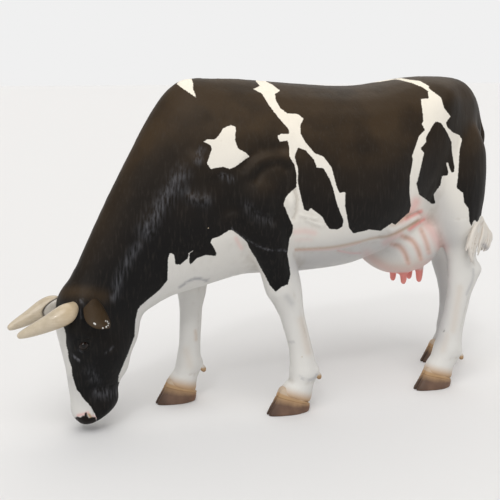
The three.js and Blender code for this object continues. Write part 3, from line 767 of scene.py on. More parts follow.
SHEEN_STROKES = [        # painted sheen: the black lightened to a bluish grey where light glances along ridges and creases
    ([(182, 174), (168, 195), (155, 215), (146, 231)], 0.030, 0.42),
    ([(137, 246), (125, 265), (117, 285), (113, 297)], 0.018, 0.40),
    ([(201, 150), (198, 161)], 0.014, 0.50), ([(223, 176), (232, 180)], 0.012, 0.45),
    ([(178, 188), (190, 196), (205, 200)], 0.026, 0.30), ([(246, 205), (257, 217), (270, 222)], 0.020, 0.18),
    ([(231, 228), (244, 238.5), (263, 249), (280, 251), (292, 251)], 0.0024, 0.55),
    ([(81.5, 299), (82, 306), (82, 317)], 0.0045, 0.60), ([(72.5, 355), (76, 358), (80, 361)], 0.0035, 0.70),
    ([(106, 353), (110, 350), (113, 347)], 0.004, 0.35), ([(78.5, 350), (82.5, 352.5)], 0.003, 0.45),
    ([(90, 372), (96, 380)], 0.020, 0.25), ([(97, 392), (106, 394), (114, 393)], 0.022, 0.35),
]
NOSE_DARK = [
    (73, 428), (75, 417.5), (77.5, 416.5), (80.5, 417.5), (83, 415.5), (84.2, 416), (85, 412.5), (86.8, 412.5),
    (87.5, 416), (89, 418), (92, 417), (95.5, 417), (99, 428),
]
DUST = [         # brown dust in the hair of the poll, round the roots of horn and ear
    ([(62, 293), (76, 290), (90, 292), (103, 297)], 0.030, 0.90),
]


def strokes(view, rows):
    """How strongly each point is tinted by a list of strokes, 0 to 1; view is what framed or side_view gives."""
    seen, pixel = view
    tint = np.zeros(len(seen))
    for line, width, strength in rows:
        tint = np.maximum(tint, strength * bell(line_distance(seen, rounded(line))[0] * pixel, width))
    return tint


MELT, SPREAD, FAIR = 110, 90, 16   # rounds of averaging: of the form, of the size that it loses, of the small forms
FINE_LINE = 0.017                  # carved lines narrower than this need a close mesh
STROKE_NEEDS = 0.012               # and so does the paint of strokes, as if they were at least this wide
EDGE_NEEDS = 0.016                 # and so do the edges of the markings, this far to each side
PLAIN_WEIGHT, WEIGHT_DROP = 0.62, 0.58             # the thinning's weight of plain flesh, and how far detail lowers it
EYE_REACH = 0.043                                  # the skin round the eye that is divided finer
LIP_AT, LIP_REACH = (-0.915, 0.06, 0.085), 0.050   # and that of the lips and nostrils
TAIL_ROOT = (*sighted(482.5, 138, 0.0), 0.055, 0.006)   # a swelling: its middle, reach and rise
PASTERN_BACK = (0.004, 0.108, 0.032, -0.014)       # a hollow: how far ahead of the heel, height, reach and rise

skin, labels = skin_blank()
mesh = skin.data
blur = Blur(mesh)
part = {name: (labels == k).astype(float) for k, name in enumerate(SKIN_NODES)}
leg = blur.field(sum(part[n] for n in LEG_NAMES), 8)
head = blur.field(part["head"], 8)
udder = blur.field(part["udder"] + sum(part[n] for n in TEAT_NAMES), 6)
tail = blur.field(part["tail"], 4)
teat = blur.field(sum(part[n] for n in TEAT_NAMES), 3)

steps = (FINE_VOXEL / VOXEL) ** 2   # a coarser mesh spreads as far in fewer rounds
start = get_points(mesh)
low_leg = leg * smooth_step(0.95, 0.70, start[:, 2])
# how much of the CAD's form stays: 1 keeps it as it is, 0 lets it melt into its neighbours
fine = np.clip(0.80 * low_leg + 0.62 * head + 0.55 * udder + 0.6 * teat + 0.7 * tail, 0, 1)
points = blur.points(start, round(MELT * steps), 0.95 * (1 - fine) ** 2 + 0.02)
set_points(mesh, points)
normals = get_normals(mesh)
lost = blur.field(((start - points) * normals).sum(1), round(SPREAD * steps))
points += normals * lost[:, None]
fair_rounds, fair_rate = round(FAIR * steps) + 1, 0.2 + 0.6 * fine
once = blur.points(points, fair_rounds, fair_rate)
points = once + blur.points(points - once, fair_rounds, fair_rate) * (fine * 0.9)[:, None]
set_points(mesh, points)

white = markings(points)
seen, pixel = side_view(points)
crease = np.full(len(points), np.inf)
for line, width, height in BODY_LINES + UDDER_LINES:
    if width < FINE_LINE:
        crease = np.minimum(crease, line_distance(seen, line)[0] * pixel / width)
for line, width, strength in PINK_STROKES + TAN_STROKES:
    crease = np.minimum(crease, line_distance(seen, line)[0] * pixel / max(width, STROKE_NEEDS))
detail = largest(bell(white, EDGE_NEEDS), 0.8 * bell(crease, 1.6), 0.55 * head, 0.65 * udder, teat, 0.35 * leg, tail)
# The thinning takes most points where this weight is high, so plain flesh has the high one and detail the low one.
group = skin.vertex_groups.new(name="plain")
for i, w in enumerate(PLAIN_WEIGHT - WEIGHT_DROP * np.clip(detail, 0, 1)):
    group.add([i], float(w), "REPLACE")
for name, field in {"udder_area": udder, "leg_area": leg, "head_area": head, "tail_area": tail}.items():
    store(mesh, name, field)
thin = skin.modifiers.new("thin", "DECIMATE")
thin.ratio = min(1.0, SKIN_LIMIT / (2 * len(mesh.polygons)))
thin.vertex_group = "plain"
thin.vertex_group_factor = 4
apply_all(skin)
skin.vertex_groups.clear()
refine(skin, [((x, side * y, z), reach, cuts)
              for (x, y, z), reach, cuts in ((EYE_AT, EYE_REACH, 2), (LIP_AT, LIP_REACH, 1)) for side in (-1, 1)])
mesh = skin.data
mesh.shade_smooth()

udder, leg, head, tail = (take(mesh, name) for name in ("udder_area", "leg_area", "head_area", "tail_area"))
sculpt(mesh, BODY_LINES, BODY_SWELLINGS, (1 - head) * (1 - udder))
sculpt(mesh, UDDER_LINES, [], udder)
sculpt(mesh, HEAD_LINES, [], head)
swell(mesh, HEAD_SWELLINGS, head)
swell(mesh, [TAIL_ROOT], 1.0)
swell(mesh, [(heel - PASTERN_BACK[0], abs(track), *PASTERN_BACK[1:]) for toe, heel, track, high, low in FEET.values()],
      leg)
shape_legs(mesh, across_legs(mesh, leg, {
    "fore_left": FORELEG_FORMS, "fore_right": FORELEG_FORMS,
    "hind_left": HINDLEG_FORMS, "hind_right": HINDLEG_FORMS,
}))
for side in (-1, 1):
    eyelids(mesh, side)

# Hair is modelled as shallow upright strokes. Shorter ones are left to the paint's bump.
STROKE_SIZE = (0.022, 0.022, 0.085)   # metres
STROKE_RISE = 0.0011
NO_STROKES, ALL_STROKES = 0.03, 0.06  # distances from the eye
TEATS_TOP, TEATS_PINK = 0.548, 0.522  # heights between which the udder turns pink
CORONET_TOP, CORONET_FULL = 0.062, 0.006   # heights over the coronet in which the tan of the foot fades
CORONET_TAN = 0.90
NOSE_TOP = 0.11                       # metres
HOLLOW_DEPTH = 0.0014
points = get_points(mesh)
eye_distance = np.linalg.norm(
    np.stack([points[:, 0], np.abs(points[:, 1]), points[:, 2]], 1) - np.array(EYE_AT), axis=1)
strokes_here = (1 - udder) * smooth_step(NO_STROKES, ALL_STROKES, eye_distance)
set_points(mesh, points + get_normals(mesh) * (STROKE_RISE * lumps(points, STROKE_SIZE, 1.7) * strokes_here)[:, None])

points, normals = get_points(mesh), get_normals(mesh)
store(mesh, "white", markings(points))

view = side_view(points)
teats = smooth_step(TEATS_TOP, TEATS_PINK, points[:, 2]) * udder
pink = np.clip(strokes(view, PINK_STROKES) + teats, 0, 1)
tan = largest(strokes(view, TAN_STROKES), strokes(framed(points), LEG_STAINS) * smooth_step(0.3, 0.7, leg))
# painted shade: cool grey where the coat turns from the light, along creases and where one leg passes behind another
shade = strokes(framed(points), SHADES)
# painted sheen: bluish-grey light along the ridges and creases of the black
painted_sheen = strokes(view, SHEEN_STROKES)
for foot, (toe, heel, track, high, low) in FEET.items():
    along = np.clip((points[:, 0] - toe) / (heel - toe), 0, 1)
    above = points[:, 2] - (high + (low - high) * along)
    here = (leg > 0.5) & (points[:, 1] * track > 0) & (points[:, 0] > toe - 0.03) & (points[:, 0] < heel + 0.06)
    tan = np.where(here, largest(tan, CORONET_TAN * smooth_step(CORONET_TOP, CORONET_FULL, above)), tan)
nose_dark_and_sheen = smooth_step(-0.5, 0.5, inside(view[0], NOSE_DARK)) * head * (points[:, 2] < NOSE_TOP)
nose_dark_and_sheen = np.where(markings(points) > 0, nose_dark_and_sheen, painted_sheen)   # on the black, the same channel holds the painted sheen
store(mesh, "airbrush", np.stack([pink, tan, nose_dark_and_sheen], 1))
# Dust and painted warm light on the upper faces, painted shade and dirt in the hollows, and painted cool shade.
# painted warm light, with dust: faces that turn up take more of it, and higher ones more still
upper = Blur(mesh).field(smooth_step(-0.1, 0.85, normals[:, 2]), 6)
high_up = smooth_step(0.45, 1.25, points[:, 2])
dust_and_warm_light = largest(upper * (0.35 + 0.65 * high_up), strokes(view, DUST))
store(mesh, "light_shade_and_dust", np.stack([dust_and_warm_light, hollows(mesh, 5, HOLLOW_DEPTH), shade], 1))


# ---------------------------------------------------------------- horns, ears, eyes and hooves

def drawn_out(name, rings, levels=2):
    """A closed body drawn out in edit mode: a disc is extruded ring by ring and each ring moved to its place."""
    bpy.ops.object.select_all(action="DESELECT")
    bpy.ops.mesh.primitive_circle_add(vertices=len(rings[0]), fill_type="NGON")
    piece = bpy.context.object
    piece.name = piece.data.name = name
    bpy.ops.object.mode_set(mode="EDIT")
    for k, ring in enumerate(rings):
        if k:
            bpy.ops.mesh.extrude_region_move()
        shape = bmesh.from_edit_mesh(piece.data)
        chosen = sorted((v for v in shape.verts if v.select), key=lambda v: v.index)
        for v, place in zip(chosen, ring):
            v.co = place
        bmesh.update_edit_mesh(piece.data)
    bpy.ops.mesh.select_all(action="SELECT")
    bpy.ops.mesh.normals_make_consistent(inside=False)
    bpy.ops.object.mode_set(mode="OBJECT")
    if levels:
        smooth = piece.modifiers.new("smooth", "SUBSURF")
        smooth.levels = smooth.render_levels = levels
        apply_all(piece)
    settle(piece)
    piece.data.shade_smooth()
    return piece


def round_rings(rows, sides):
    """Rings round a path. A row is its middle and radius."""
    centres = [Vector(r[:3]) for r in rows]
    rings = []
    for i, row in enumerate(rows):
        ahead = (centres[min(i + 1, len(rows) - 1)] - centres[max(i - 1, 0)]).normalized()
        across = ahead.cross(Vector((0, 0, 1))).normalized()
        up = across.cross(ahead)
        rings.append([centres[i] + row[3] * (math.cos(t) * across + math.sin(t) * up)
                      for t in (2 * math.pi * k / sides for k in range(sides))])
    return rings


# A horn from root to tip: x, y on the right side, z, radius, and how much lower it hangs on the right.
HORN_ROWS = [
    (-0.950, 0.062, 0.550, 0.018, 0.013), (-0.975, 0.088, 0.545, 0.027, 0.013),
    (-0.992, 0.104, 0.538, 0.0375, 0.013), (-1.008, 0.1115, 0.530, 0.0425, 0.013),
    (-1.045, 0.116, 0.516, 0.0400, 0.013), (-1.095, 0.106, 0.492, 0.0310, 0.013),
    (-1.146, 0.091, 0.472, 0.0240, 0.008), (-1.183, 0.079, 0.457, 0.0155, 0.004),
    (-1.196, 0.0745, 0.451, 0.008, 0.002),
]
# The dark mended joint round the right horn: its x and the height there, how much it bows, and its half width.
HORN_RING_AT, HORN_RING_HEIGHT, HORN_RING_BOW, HORN_RING_WIDE = -1.050, 0.498, 20, 0.0048
HORN_RING_DEEP = 0.0022
HORN_STUB_EDGE = 0.004      # metres over which the paler root stub begins behind it
HORN_ROOT = (-1.09, -1.0)   # x between which the warm colour of the root comes in


def horn(side):
    rows = [(x, side * y, z - max(side, 0) * sag, r) for x, y, z, r, sag in HORN_ROWS]
    piece = drawn_out("horn_left_cast" if side < 0 else "horn_right_cast", round_rings(rows, 20), 3)
    p = get_points(piece.data)
    off = (p[:, 0] - HORN_RING_AT) - HORN_RING_BOW * (p[:, 2] - HORN_RING_HEIGHT) ** 2
    mended = float(side > 0)
    ring = bell(off, HORN_RING_WIDE) * mended
    set_points(piece.data, p - get_normals(piece.data) * (HORN_RING_DEEP * ring)[:, None])
    stub = smooth_step(0.0, HORN_STUB_EDGE, off) * mended
    root = smooth_step(*HORN_ROOT, p[:, 0]) * (0.2 if mended else 1.0)
    store(piece.data, "horn_zones", np.stack([ring, stub, root], 1))
    return piece


# Where the parts of the eye lie, by how directly a place looks out: 1 is straight ahead.
BULGE, BULGE_FROM = 0.0012, 0.78
PUPIL_EDGE, IRIS_EDGE = (0.90, 0.93), (0.72, 0.80)


def eye(side):
    """A glass-smooth ball with a slight bulge in front, over the pupil."""
    bpy.ops.object.select_all(action="DESELECT")
    bpy.ops.mesh.primitive_uv_sphere_add(segments=48, ring_count=28, radius=EYE_RADIUS)
    ball = bpy.context.object
    ball.name = ball.data.name = "eyeball_left" if side < 0 else "eyeball_right"
    looks, along, up = eye_axes(side)
    p = get_points(ball.data)
    front = (p / EYE_RADIUS) @ looks
    p += looks * (BULGE * smooth_step(BULGE_FROM, 1.0, front))[:, None]
    set_points(ball.data, p + np.array([EYE_AT[0], side * EYE_AT[1], EYE_AT[2]]))
    # pupil, iris, and a third channel that isn't used
    zones = [smooth_step(*PUPIL_EDGE, front), smooth_step(*IRIS_EDGE, front), np.zeros(len(p))]
    store(ball.data, "eye_zones", np.stack(zones, 1))
    ball.data.shade_smooth()
    return ball


HOOF_HALF = 0.0545        # metres, half of both claws together
HOOF_SIDES = 48
HOOF_GROOVE = 0.93        # the share of its height where wall and coronet meet
GROOVE_DEEP, GROOVE_WIDE = 0.0022, 0.022
GROWTH_RINGS, RING_RISE = 6.5, 0.0006
HOOF_UNEVEN = 0.0011      # metres
# The cleft cut in from the front, from behind and from below: its depth, its half width and where it begins and ends.
CLEFT_FRONT = (0.015, 0.0048, 0.42, 0.08)
CLEFT_BACK = (0.010, 0.0070, 0.80, 0.95)
CLEFT_BELOW = (0.008, 0.0045, 0.10, 0.0)
# A row is the share of the hoof's height, then how far toe and heel pull in, and how wide it is, as shares.
HOOF_ROWS = [
    (0.00, 0.080, 0.080, 0.88), (0.00, 0.012, 0.022, 0.975), (0.04, 0.000, 0.008, 1.00), (0.15, 0.030, 0.000, 1.00),
    (0.38, 0.110, -0.015, 0.99), (0.62, 0.185, -0.020, 0.98), (0.84, 0.250, -0.020, 0.97),
    (0.94, 0.275, -0.018, 0.965), (1.00, 0.288, -0.010, 0.95), (1.09, 0.305, 0.030, 0.90), (1.17, 0.360, 0.110, 0.76),
    (1.21, 0.440, 0.230, 0.52),
]


def hoof(foot):
    """Both claws of a foot: a flat sole, a sloping wall with growth rings, and a cleft in front, behind and below."""
    toe, heel, track, high, low = FEET[foot]
    length = heel - toe
    rings = []
    for rise, front, back, wide in HOOF_ROWS:
        x0, x1 = toe + front * length, heel - back * length
        ring = []
        for k in range(HOOF_SIDES):
            turn = 2 * math.pi * k / HOOF_SIDES
            along = 0.5 - 0.5 * math.cos(turn)
            spread = math.copysign(abs(math.sin(turn)) ** 0.66, math.sin(turn))
            y = HOOF_HALF * wide * (0.70 + 0.30 * min(1, 1.6 * along)) * spread
            ring.append((x0 + (x1 - x0) * along, track + y, rise * (high + (low - high) * along)))
        rings.append(ring)
    piece = drawn_out(f"hoof_{foot}", rings, 2)
    mesh = piece.data
    p = get_points(mesh)
    across = p[:, 1] - track
    along = (p[:, 0] - toe) / length
    share = p[:, 2] / (high + (low - high) * np.clip(along, 0, 1))
    for (deep, wide, *ends), sign in ((CLEFT_FRONT, 1), (CLEFT_BACK, -1)):
        p[:, 0] += sign * deep * bell(across, wide) * smooth_step(*ends, along)
    deep, wide, *ends = CLEFT_BELOW
    sole = smooth_step(*ends, share)
    p[:, 2] += deep * bell(across, wide) * sole
    # the rim of the sole is worn
    edge = smooth_step(0.004, 0.0, np.abs(p[:, 2])) * smooth_step(0.6, 1.0, np.abs(across) / HOOF_HALF)
    p[:, 2] += 0.003 * np.clip(lumps(p, (0.03, 0.03, 0.03), 4.1), 0, 1) * edge
    set_points(mesh, p)
    wave = np.sin(2 * math.pi * (share * GROWTH_RINGS + 0.6 * lumps(p, (0.05, 0.05, 0.05), 2.9)))
    rise = RING_RISE * wave * smooth_step(0.10, 0.25, share) * smooth_step(0.95, 0.80, share)
    rise -= GROOVE_DEEP * bell(share - HOOF_GROOVE, GROOVE_WIDE)
    rise += HOOF_UNEVEN * lumps(p, (0.030, 0.030, 0.022), 8.3) * (1 - sole)
    p = p + get_normals(mesh) * rise[:, None]
    p[:, 2] = np.maximum(p[:, 2], 0.0)
    set_points(mesh, p)
    store(mesh, "hoof_zones", np.stack([np.clip(share, 0, 1.2), smooth_step(0.35, 0.0, along),
                                        smooth_step(0.70, 1.0, along)], 1))
    return piece


# A dewclaw from root to tip: how far back and up from its middle, as shares of its box, and its radius.
DEWCLAW_ROWS = [(-0.42, 0.35, 0.0100), (-0.12, 0.15, 0.0150), (0.06, -0.05, 0.0142), (0.14, -0.26, 0.0108),
                (0.15, -0.36, 0.0050)]
DEWCLAW_TIP = 0.62   # its tip is coloured as a hoof is at this share of its height


def dewclaw(foot, place):
    """A blunt horny point that hangs behind the fetlock."""
    low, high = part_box(f"dewclaw_{foot}_{place}")
    middle, size = (low + high) / 2, high - low
    rows = [(middle.x + size.x * back, middle.y, middle.z + size.z * up, r) for back, up, r in DEWCLAW_ROWS]
    piece = drawn_out(f"dewclaw_cast_{foot}_{place}", round_rings(rows, 12))
    depth = (get_points(piece.data)[:, 2] - low.z) / size.z
    nothing = np.zeros(len(depth))
    store(piece.data, "hoof_zones", np.stack([DEWCLAW_TIP + depth, nothing, nothing], 1))
    return piece


# The ear, from root to tip: where it shows in the frame, its y on the left side, half width and thickness.
EAR_ROWS = [
    ((92, 297.5), -0.074, 0.026, 0.016), ((93.5, 301), -0.092, 0.038, 0.015), ((95.5, 306.5), -0.116, 0.049, 0.013),
    ((97.8, 313), -0.145, 0.055, 0.0115), ((100, 319.5), -0.172, 0.057, 0.0105), ((103.3, 324.5), -0.193, 0.042, 0.009),
    ((105, 327), -0.204, 0.029, 0.008), ((105.5, 328.5), -0.209, 0.013, 0.006),
]
EAR_BROAD = (0.96, 0.0, -0.28)   # across the left ear
EAR_CUP = 0.30                   # how far its edges droop, as a share of its half width
EAR_SIDES = 24
CHIP_RADIUS = 0.0028             # metres
NO_CHIP = -0.1                   # deep in the black
EAR_CHIPS = [
    (94.3, 323.4), (95.3, 324), (105.6, 321), (107.5, 321.6), (108.6, 323.4), (108, 325.5), (106.4, 327), (103, 328),
]


def ear(side):
    """A thick leaf, cupped downwards, that droops out and back from behind the horn."""
    turn_over = np.array([1, -side, 1])
    rows = [(Vector(sighted(*at, y) * turn_over), half, thick) for at, y, half, thick in EAR_ROWS]
    broad = Vector(np.array(EAR_BROAD) * turn_over)
    rings = []
    for i, (middle, half, thick) in enumerate(rows):
        ahead = (rows[min(i + 1, len(rows) - 1)][0] - rows[max(i - 1, 0)][0]).normalized()
        wide = (broad - ahead * broad.dot(ahead)).normalized()
        up = ahead.cross(wide) * -side
        ring = []
        for k in range(EAR_SIDES):
            turn = 2 * math.pi * k / EAR_SIDES
            c, d = math.cos(turn), math.sin(turn)
            spread = math.copysign(abs(c) ** 0.8, c) * half
            droop = -EAR_CUP * half * (spread / half) ** 2
            ring.append(middle + wide * spread + up * (d * thick * (1 - 0.45 * c * c) + droop))
        rings.append(ring)
    piece = drawn_out("ear_left_cast" if side < 0 else "ear_right_cast", rings, 3)
    mesh = piece.data
    p = get_points(mesh)
    seen, pixel = side_view(p)
    chips = np.full(len(p), NO_CHIP)
    for spot in EAR_CHIPS if side < 0 else ():
        chips = np.maximum(chips, CHIP_RADIUS - np.linalg.norm(seen - np.array(spot), axis=1) * pixel)
    store(mesh, "white", chips)
    nothing = np.zeros(len(p))
    store(mesh, "airbrush", np.stack([nothing, nothing, nothing], 1))
    # the whole ear takes the brown dust and painted warm light of an upper face
    store(mesh, "light_shade_and_dust", np.stack([np.full(len(p), 1.0), nothing, nothing], 1))
    return piece


# The switch: guiding strands as places (across, down, y), from the end of the tail round the back of the thigh.
SWITCH_GUIDES = [
    [(480.3, 219.5, 0.0), (478.5, 221, -0.12), (475.5, 223, -0.215), (472.5, 229, -0.25), (469, 237, -0.268),
     (466.5, 247, -0.27), (468, 257, -0.26)],
    [(480.3, 219.5, 0.0), (479, 221, -0.12), (476.5, 224, -0.205), (474, 231, -0.245), (471.5, 240, -0.262),
     (470, 250, -0.27), (471, 261, -0.26)],
    [(480.3, 219.5, 0.0), (479.5, 222, -0.10), (478, 226, -0.18), (476.5, 233, -0.22), (475, 241, -0.24),
     (474, 251, -0.25), (473, 259, -0.25)],
    [(480.3, 219.5, 0.0), (480.3, 223, -0.08), (480.5, 229, -0.14), (480.3, 236, -0.18), (479, 243, -0.205),
     (476.5, 250, -0.215), (476, 253, -0.22)],
    [(480.3, 218.5, 0.0), (481, 224, -0.05), (483.5, 230, -0.09), (485.5, 236, -0.12), (484.5, 242, -0.14),
     (482.5, 247, -0.155), (480.5, 250, -0.17)],
    [(480.3, 217.5, 0.0), (481.2, 224, -0.02), (484.5, 230, -0.05), (488.8, 235.5, -0.07), (489, 242.5, -0.085),
     (486.5, 248, -0.10), (483.5, 249.5, -0.12)],
    [(480.2, 215.8, 0.0), (481, 222, -0.01), (482.5, 228.5, -0.02), (487.5, 231.5, -0.03), (490.5, 237, -0.035),
     (489.5, 245, -0.05), (486, 248.8, -0.06)],
]
# painted cool grey shade in the hollow under the curl of the switch
SWITCH_SHADES = [([(484, 245), (488, 250)], 0.012, 0.50)]
STRANDS = 40
STRAND_PLACES = 12
STRAND_WANDER = 0.0018            # metres, from one place to the next
STRAND_THICK = (0.0105, 0.0150)   # radius, thinnest and thickest
SWITCH_VOXEL = 0.0032
SWITCH_GROOVE = 0.0016            # metres, a full one


def spread_line(line, count):
    """A chain of points resampled evenly."""
    line = np.array(line, float)
    gaps = np.concatenate([[0], np.cumsum(np.linalg.norm(np.diff(line, axis=0), axis=1))])
    return np.stack([np.interp(np.linspace(0, gaps[-1], count), gaps, line[:, k]) for k in range(3)], 1)


def switch():
    """The tuft of the tail: modelled strands, melted together and smoothed as a sculptor's hair is."""
    random = np.random.default_rng(7)
    guides = np.stack([spread_line([sighted(*place) for place in guide], STRAND_PLACES) for guide in SWITCH_GUIDES])
    data = bpy.data.curves.new("switch_strands", "CURVE")
    data.dimensions = "3D"
    data.bevel_depth = 1.0
    data.bevel_resolution = 2
    data.use_fill_caps = True
    for k in range(STRANDS):
        at = (len(guides) - 1) * k / (STRANDS - 1)
        low = min(int(at), len(guides) - 2)
        line = guides[low] * (1 - at + low) + guides[low + 1] * (at - low)
        line = line + np.cumsum(random.normal(0, STRAND_WANDER, line.shape), axis=0)
        thick = random.uniform(*STRAND_THICK)
        reach = int(random.integers(STRAND_PLACES - 2, STRAND_PLACES + 1))
        spline = data.splines.new("NURBS")
        spline.points.add(reach - 1)
        for i in range(reach):
            t = i / (reach - 1)
            spline.points[i].co = (*line[i], 1)
            spline.points[i].radius = thick * (0.8 + 0.45 * math.sin(math.pi * t)) * min(1, 1.3 - t) + 0.001
        spline.use_endpoint_u = True
        spline.order_u = 4
    piece = bpy.data.objects.new("switch_cast", data)
    bpy.context.scene.collection.objects.link(piece)
    pick_only(piece)
    bpy.ops.object.convert(target="MESH")
    piece = bpy.context.object
    piece.name = piece.data.name = "switch_cast"
    piece.data.remesh_voxel_size = SWITCH_VOXEL
    bpy.ops.object.voxel_remesh()
    keep_largest(piece)
    mesh = piece.data
    p = get_points(mesh)
    set_points(mesh, Blur(mesh).points(p, 5, np.full(len(p), 0.5)))
    p = get_points(mesh)
    grooves = hollows(mesh, 10, SWITCH_GROOVE)
    nothing = np.zeros(len(p))
    store(mesh, "white", np.full(len(p), 0.1))
    # tan all over, and deeper in the grooves as painted shade
    store(mesh, "airbrush", np.stack([nothing, 0.12 + 0.35 * grooves, nothing], 1))
    # half the dust and painted warm light of an upper face, painted shade in the grooves, and painted cool shade under
    # the curl
    store(mesh, "light_shade_and_dust", np.stack([np.full(len(p), 0.5), grooves, strokes(framed(p), SWITCH_SHADES)], 1))
    mesh.shade_smooth()
    return piece


# ---------------------------------------------------------------- paints

# Sockets of a colour Mix node: how much of the second, the first and the second, and what comes out.
SHARE, FIRST, SECOND, MIXED = 0, 6, 7, 2


def new_material(name):
    material = bpy.data.materials.new(name)
    material.use_nodes = True
    tree = material.node_tree
    return material, tree, tree.nodes["Principled BSDF"]


def coat_paint():
    """Satin enamel brushed over modelled hair.

    It gives a soft shine, broken up by the brush. The black is brown above, partly dust and partly painted warm light,
    is rubbed lighter in places and has a painted bluish-grey sheen along ridges;
    the white is cool below and painted warm cream above as if lit from overhead, with painted shade in its hollows and
    where it turns away, and where they meet the brush left a ragged edge.
    """
    material, tree, surface = new_material("satin_enamel_coat")
    place = add(tree, "ShaderNodeTexCoord").outputs["Object"]
    white = add(tree, "ShaderNodeAttribute", attribute_name="white").outputs["Fac"]
    tints = add(tree, "ShaderNodeAttribute", attribute_name="airbrush").outputs["Color"]
    pink, tan, nose_dark_and_sheen = add(tree, "ShaderNodeSeparateColor", {"Color": tints}).outputs
    # dust and painted warm light, painted shade and dirt in the hollows, and painted cool shade
    light_shade_and_dust_channels = add(tree, "ShaderNodeAttribute", attribute_name="light_shade_and_dust").outputs["Color"]
    top, hollow, shade = add(tree, "ShaderNodeSeparateColor", {"Color": light_shade_and_dust_channels}).outputs
    # from the knee up to the back, in metres over the floor
    up = add(tree, "ShaderNodeSeparateXYZ", {"Vector": place}).outputs["Z"]
    high = add(tree, "ShaderNodeMapRange", {"Value": up, "From Min": 0.55, "From Max": 1.25}).outputs[0]

    # bristle marks about 6 mm long push the edge to and fro by up to 3.5 mm; the paint ends within 2.4 mm
    ragged = add(tree, "ShaderNodeTexNoise", {"Vector": place, "Scale": 160.0, "Detail": 3.0}).outputs["Fac"]
    push = add(tree, "ShaderNodeMath", {0: ragged, 1: -0.5}, operation="ADD").outputs[0]
    edge = add(tree, "ShaderNodeMath", {0: push, 1: 0.007, 2: white}, operation="MULTIPLY_ADD").outputs[0]
    mask = add(tree, "ShaderNodeMapRange", {"Value": edge, "From Min": -0.0012, "From Max": 0.0012}).outputs[0]
    # hair strokes 9 mm wide and 60 mm long, and cloudy wear about 200 mm across
    drawn = add(tree, "ShaderNodeMapping", {"Vector": place, "Scale": (110.0, 110.0, 17.0)}).outputs[0]
    hair = add(tree, "ShaderNodeTexNoise", {"Vector": drawn, "Scale": 1.0, "Detail": 4.0}).outputs["Fac"]
    cloud = add(tree, "ShaderNodeTexNoise", {"Vector": place, "Scale": 5.0, "Detail": 5.0}).outputs["Fac"]

    # black: dust and painted warm light above, how far it is rubbed along the strokes, and its painted bluish-grey
    # sheen
    # dust and painted warm light: the black turns brown the higher it is and the more it faces up
    higher = add(tree, "ShaderNodeMath", {0: high, 1: 2.2}, operation="POWER").outputs[0]
    dust_and_top_light = add(tree, "ShaderNodeMath", {0: higher, 1: 0.42, 2: top}, operation="MULTIPLY_ADD",
               use_clamp=True).outputs[0]
    patchy = add(tree, "ShaderNodeMapRange", {"Value": cloud, "From Min": 0.38, "From Max": 0.62,
                                              "To Min": 0.60, "To Max": 1.10}).outputs[0]
    dust_and_warm_light = add(tree, "ShaderNodeMath", {0: dust_and_top_light, 1: patchy}, operation="MULTIPLY", use_clamp=True).outputs[0]
    rubbed = add(tree, "ShaderNodeMapRange", {"Value": hair, "From Min": 0.52, "From Max": 0.80,
                                              "To Max": 0.26}).outputs[0]
    brushed = add(tree, "ShaderNodeMapRange", {"Value": hair, "From Min": 0.38, "From Max": 0.64}).outputs[0]
    # painted sheen on the black, broken up along the hair strokes
    painted_sheen = add(tree, "ShaderNodeMath", {0: nose_dark_and_sheen, 1: brushed}, operation="MULTIPLY").outputs[0]
    black = linear("#0a0a0b")
    for share, colour in ((cloud, "#121111"), (dust_and_warm_light, "#3a2d1e"), (rubbed, "#443e38"), (painted_sheen, "#6b6c72")):
        black = add(tree, "ShaderNodeMix", {SHARE: share, FIRST: black, SECOND: linear(colour)},
                    data_type="RGBA").outputs[MIXED]

    # white: painted warm light above, then the airbrushed tints, painted cool shade, painted shade and dirt in the
    # hollows, and the dark of the nose
    # painted warm light: the white turns cream the higher it is and the more it faces up
    lit = add(tree, "ShaderNodeMath", {0: top, 1: 0.45, 2: 0.55}, operation="MULTIPLY_ADD").outputs[0]
    painted_warm_light = add(tree, "ShaderNodeMath", {0: high, 1: lit}, operation="MULTIPLY").outputs[0]
    # painted shade and dirt: the white darkens in the hollows
    hollow_shade_and_dirt = add(tree, "ShaderNodeMath", {0: hollow, 1: 0.28}, operation="MULTIPLY").outputs[0]
    coat = linear("#d5d3ce")
    for share, colour in ((cloud, "#cbcac8"), (painted_warm_light, "#f0e8d9"), (pink, "#e08f88"), (tan, "#b08d66"),
                          (shade, "#85868d"), (hollow_shade_and_dirt, "#8f8272"), (nose_dark_and_sheen, "#17110f")):
        coat = add(tree, "ShaderNodeMix", {SHARE: share, FIRST: coat, SECOND: linear(colour)},
                   data_type="RGBA").outputs[MIXED]
    coat = add(tree, "ShaderNodeMix", {SHARE: mask, FIRST: black, SECOND: coat}, data_type="RGBA").outputs[MIXED]

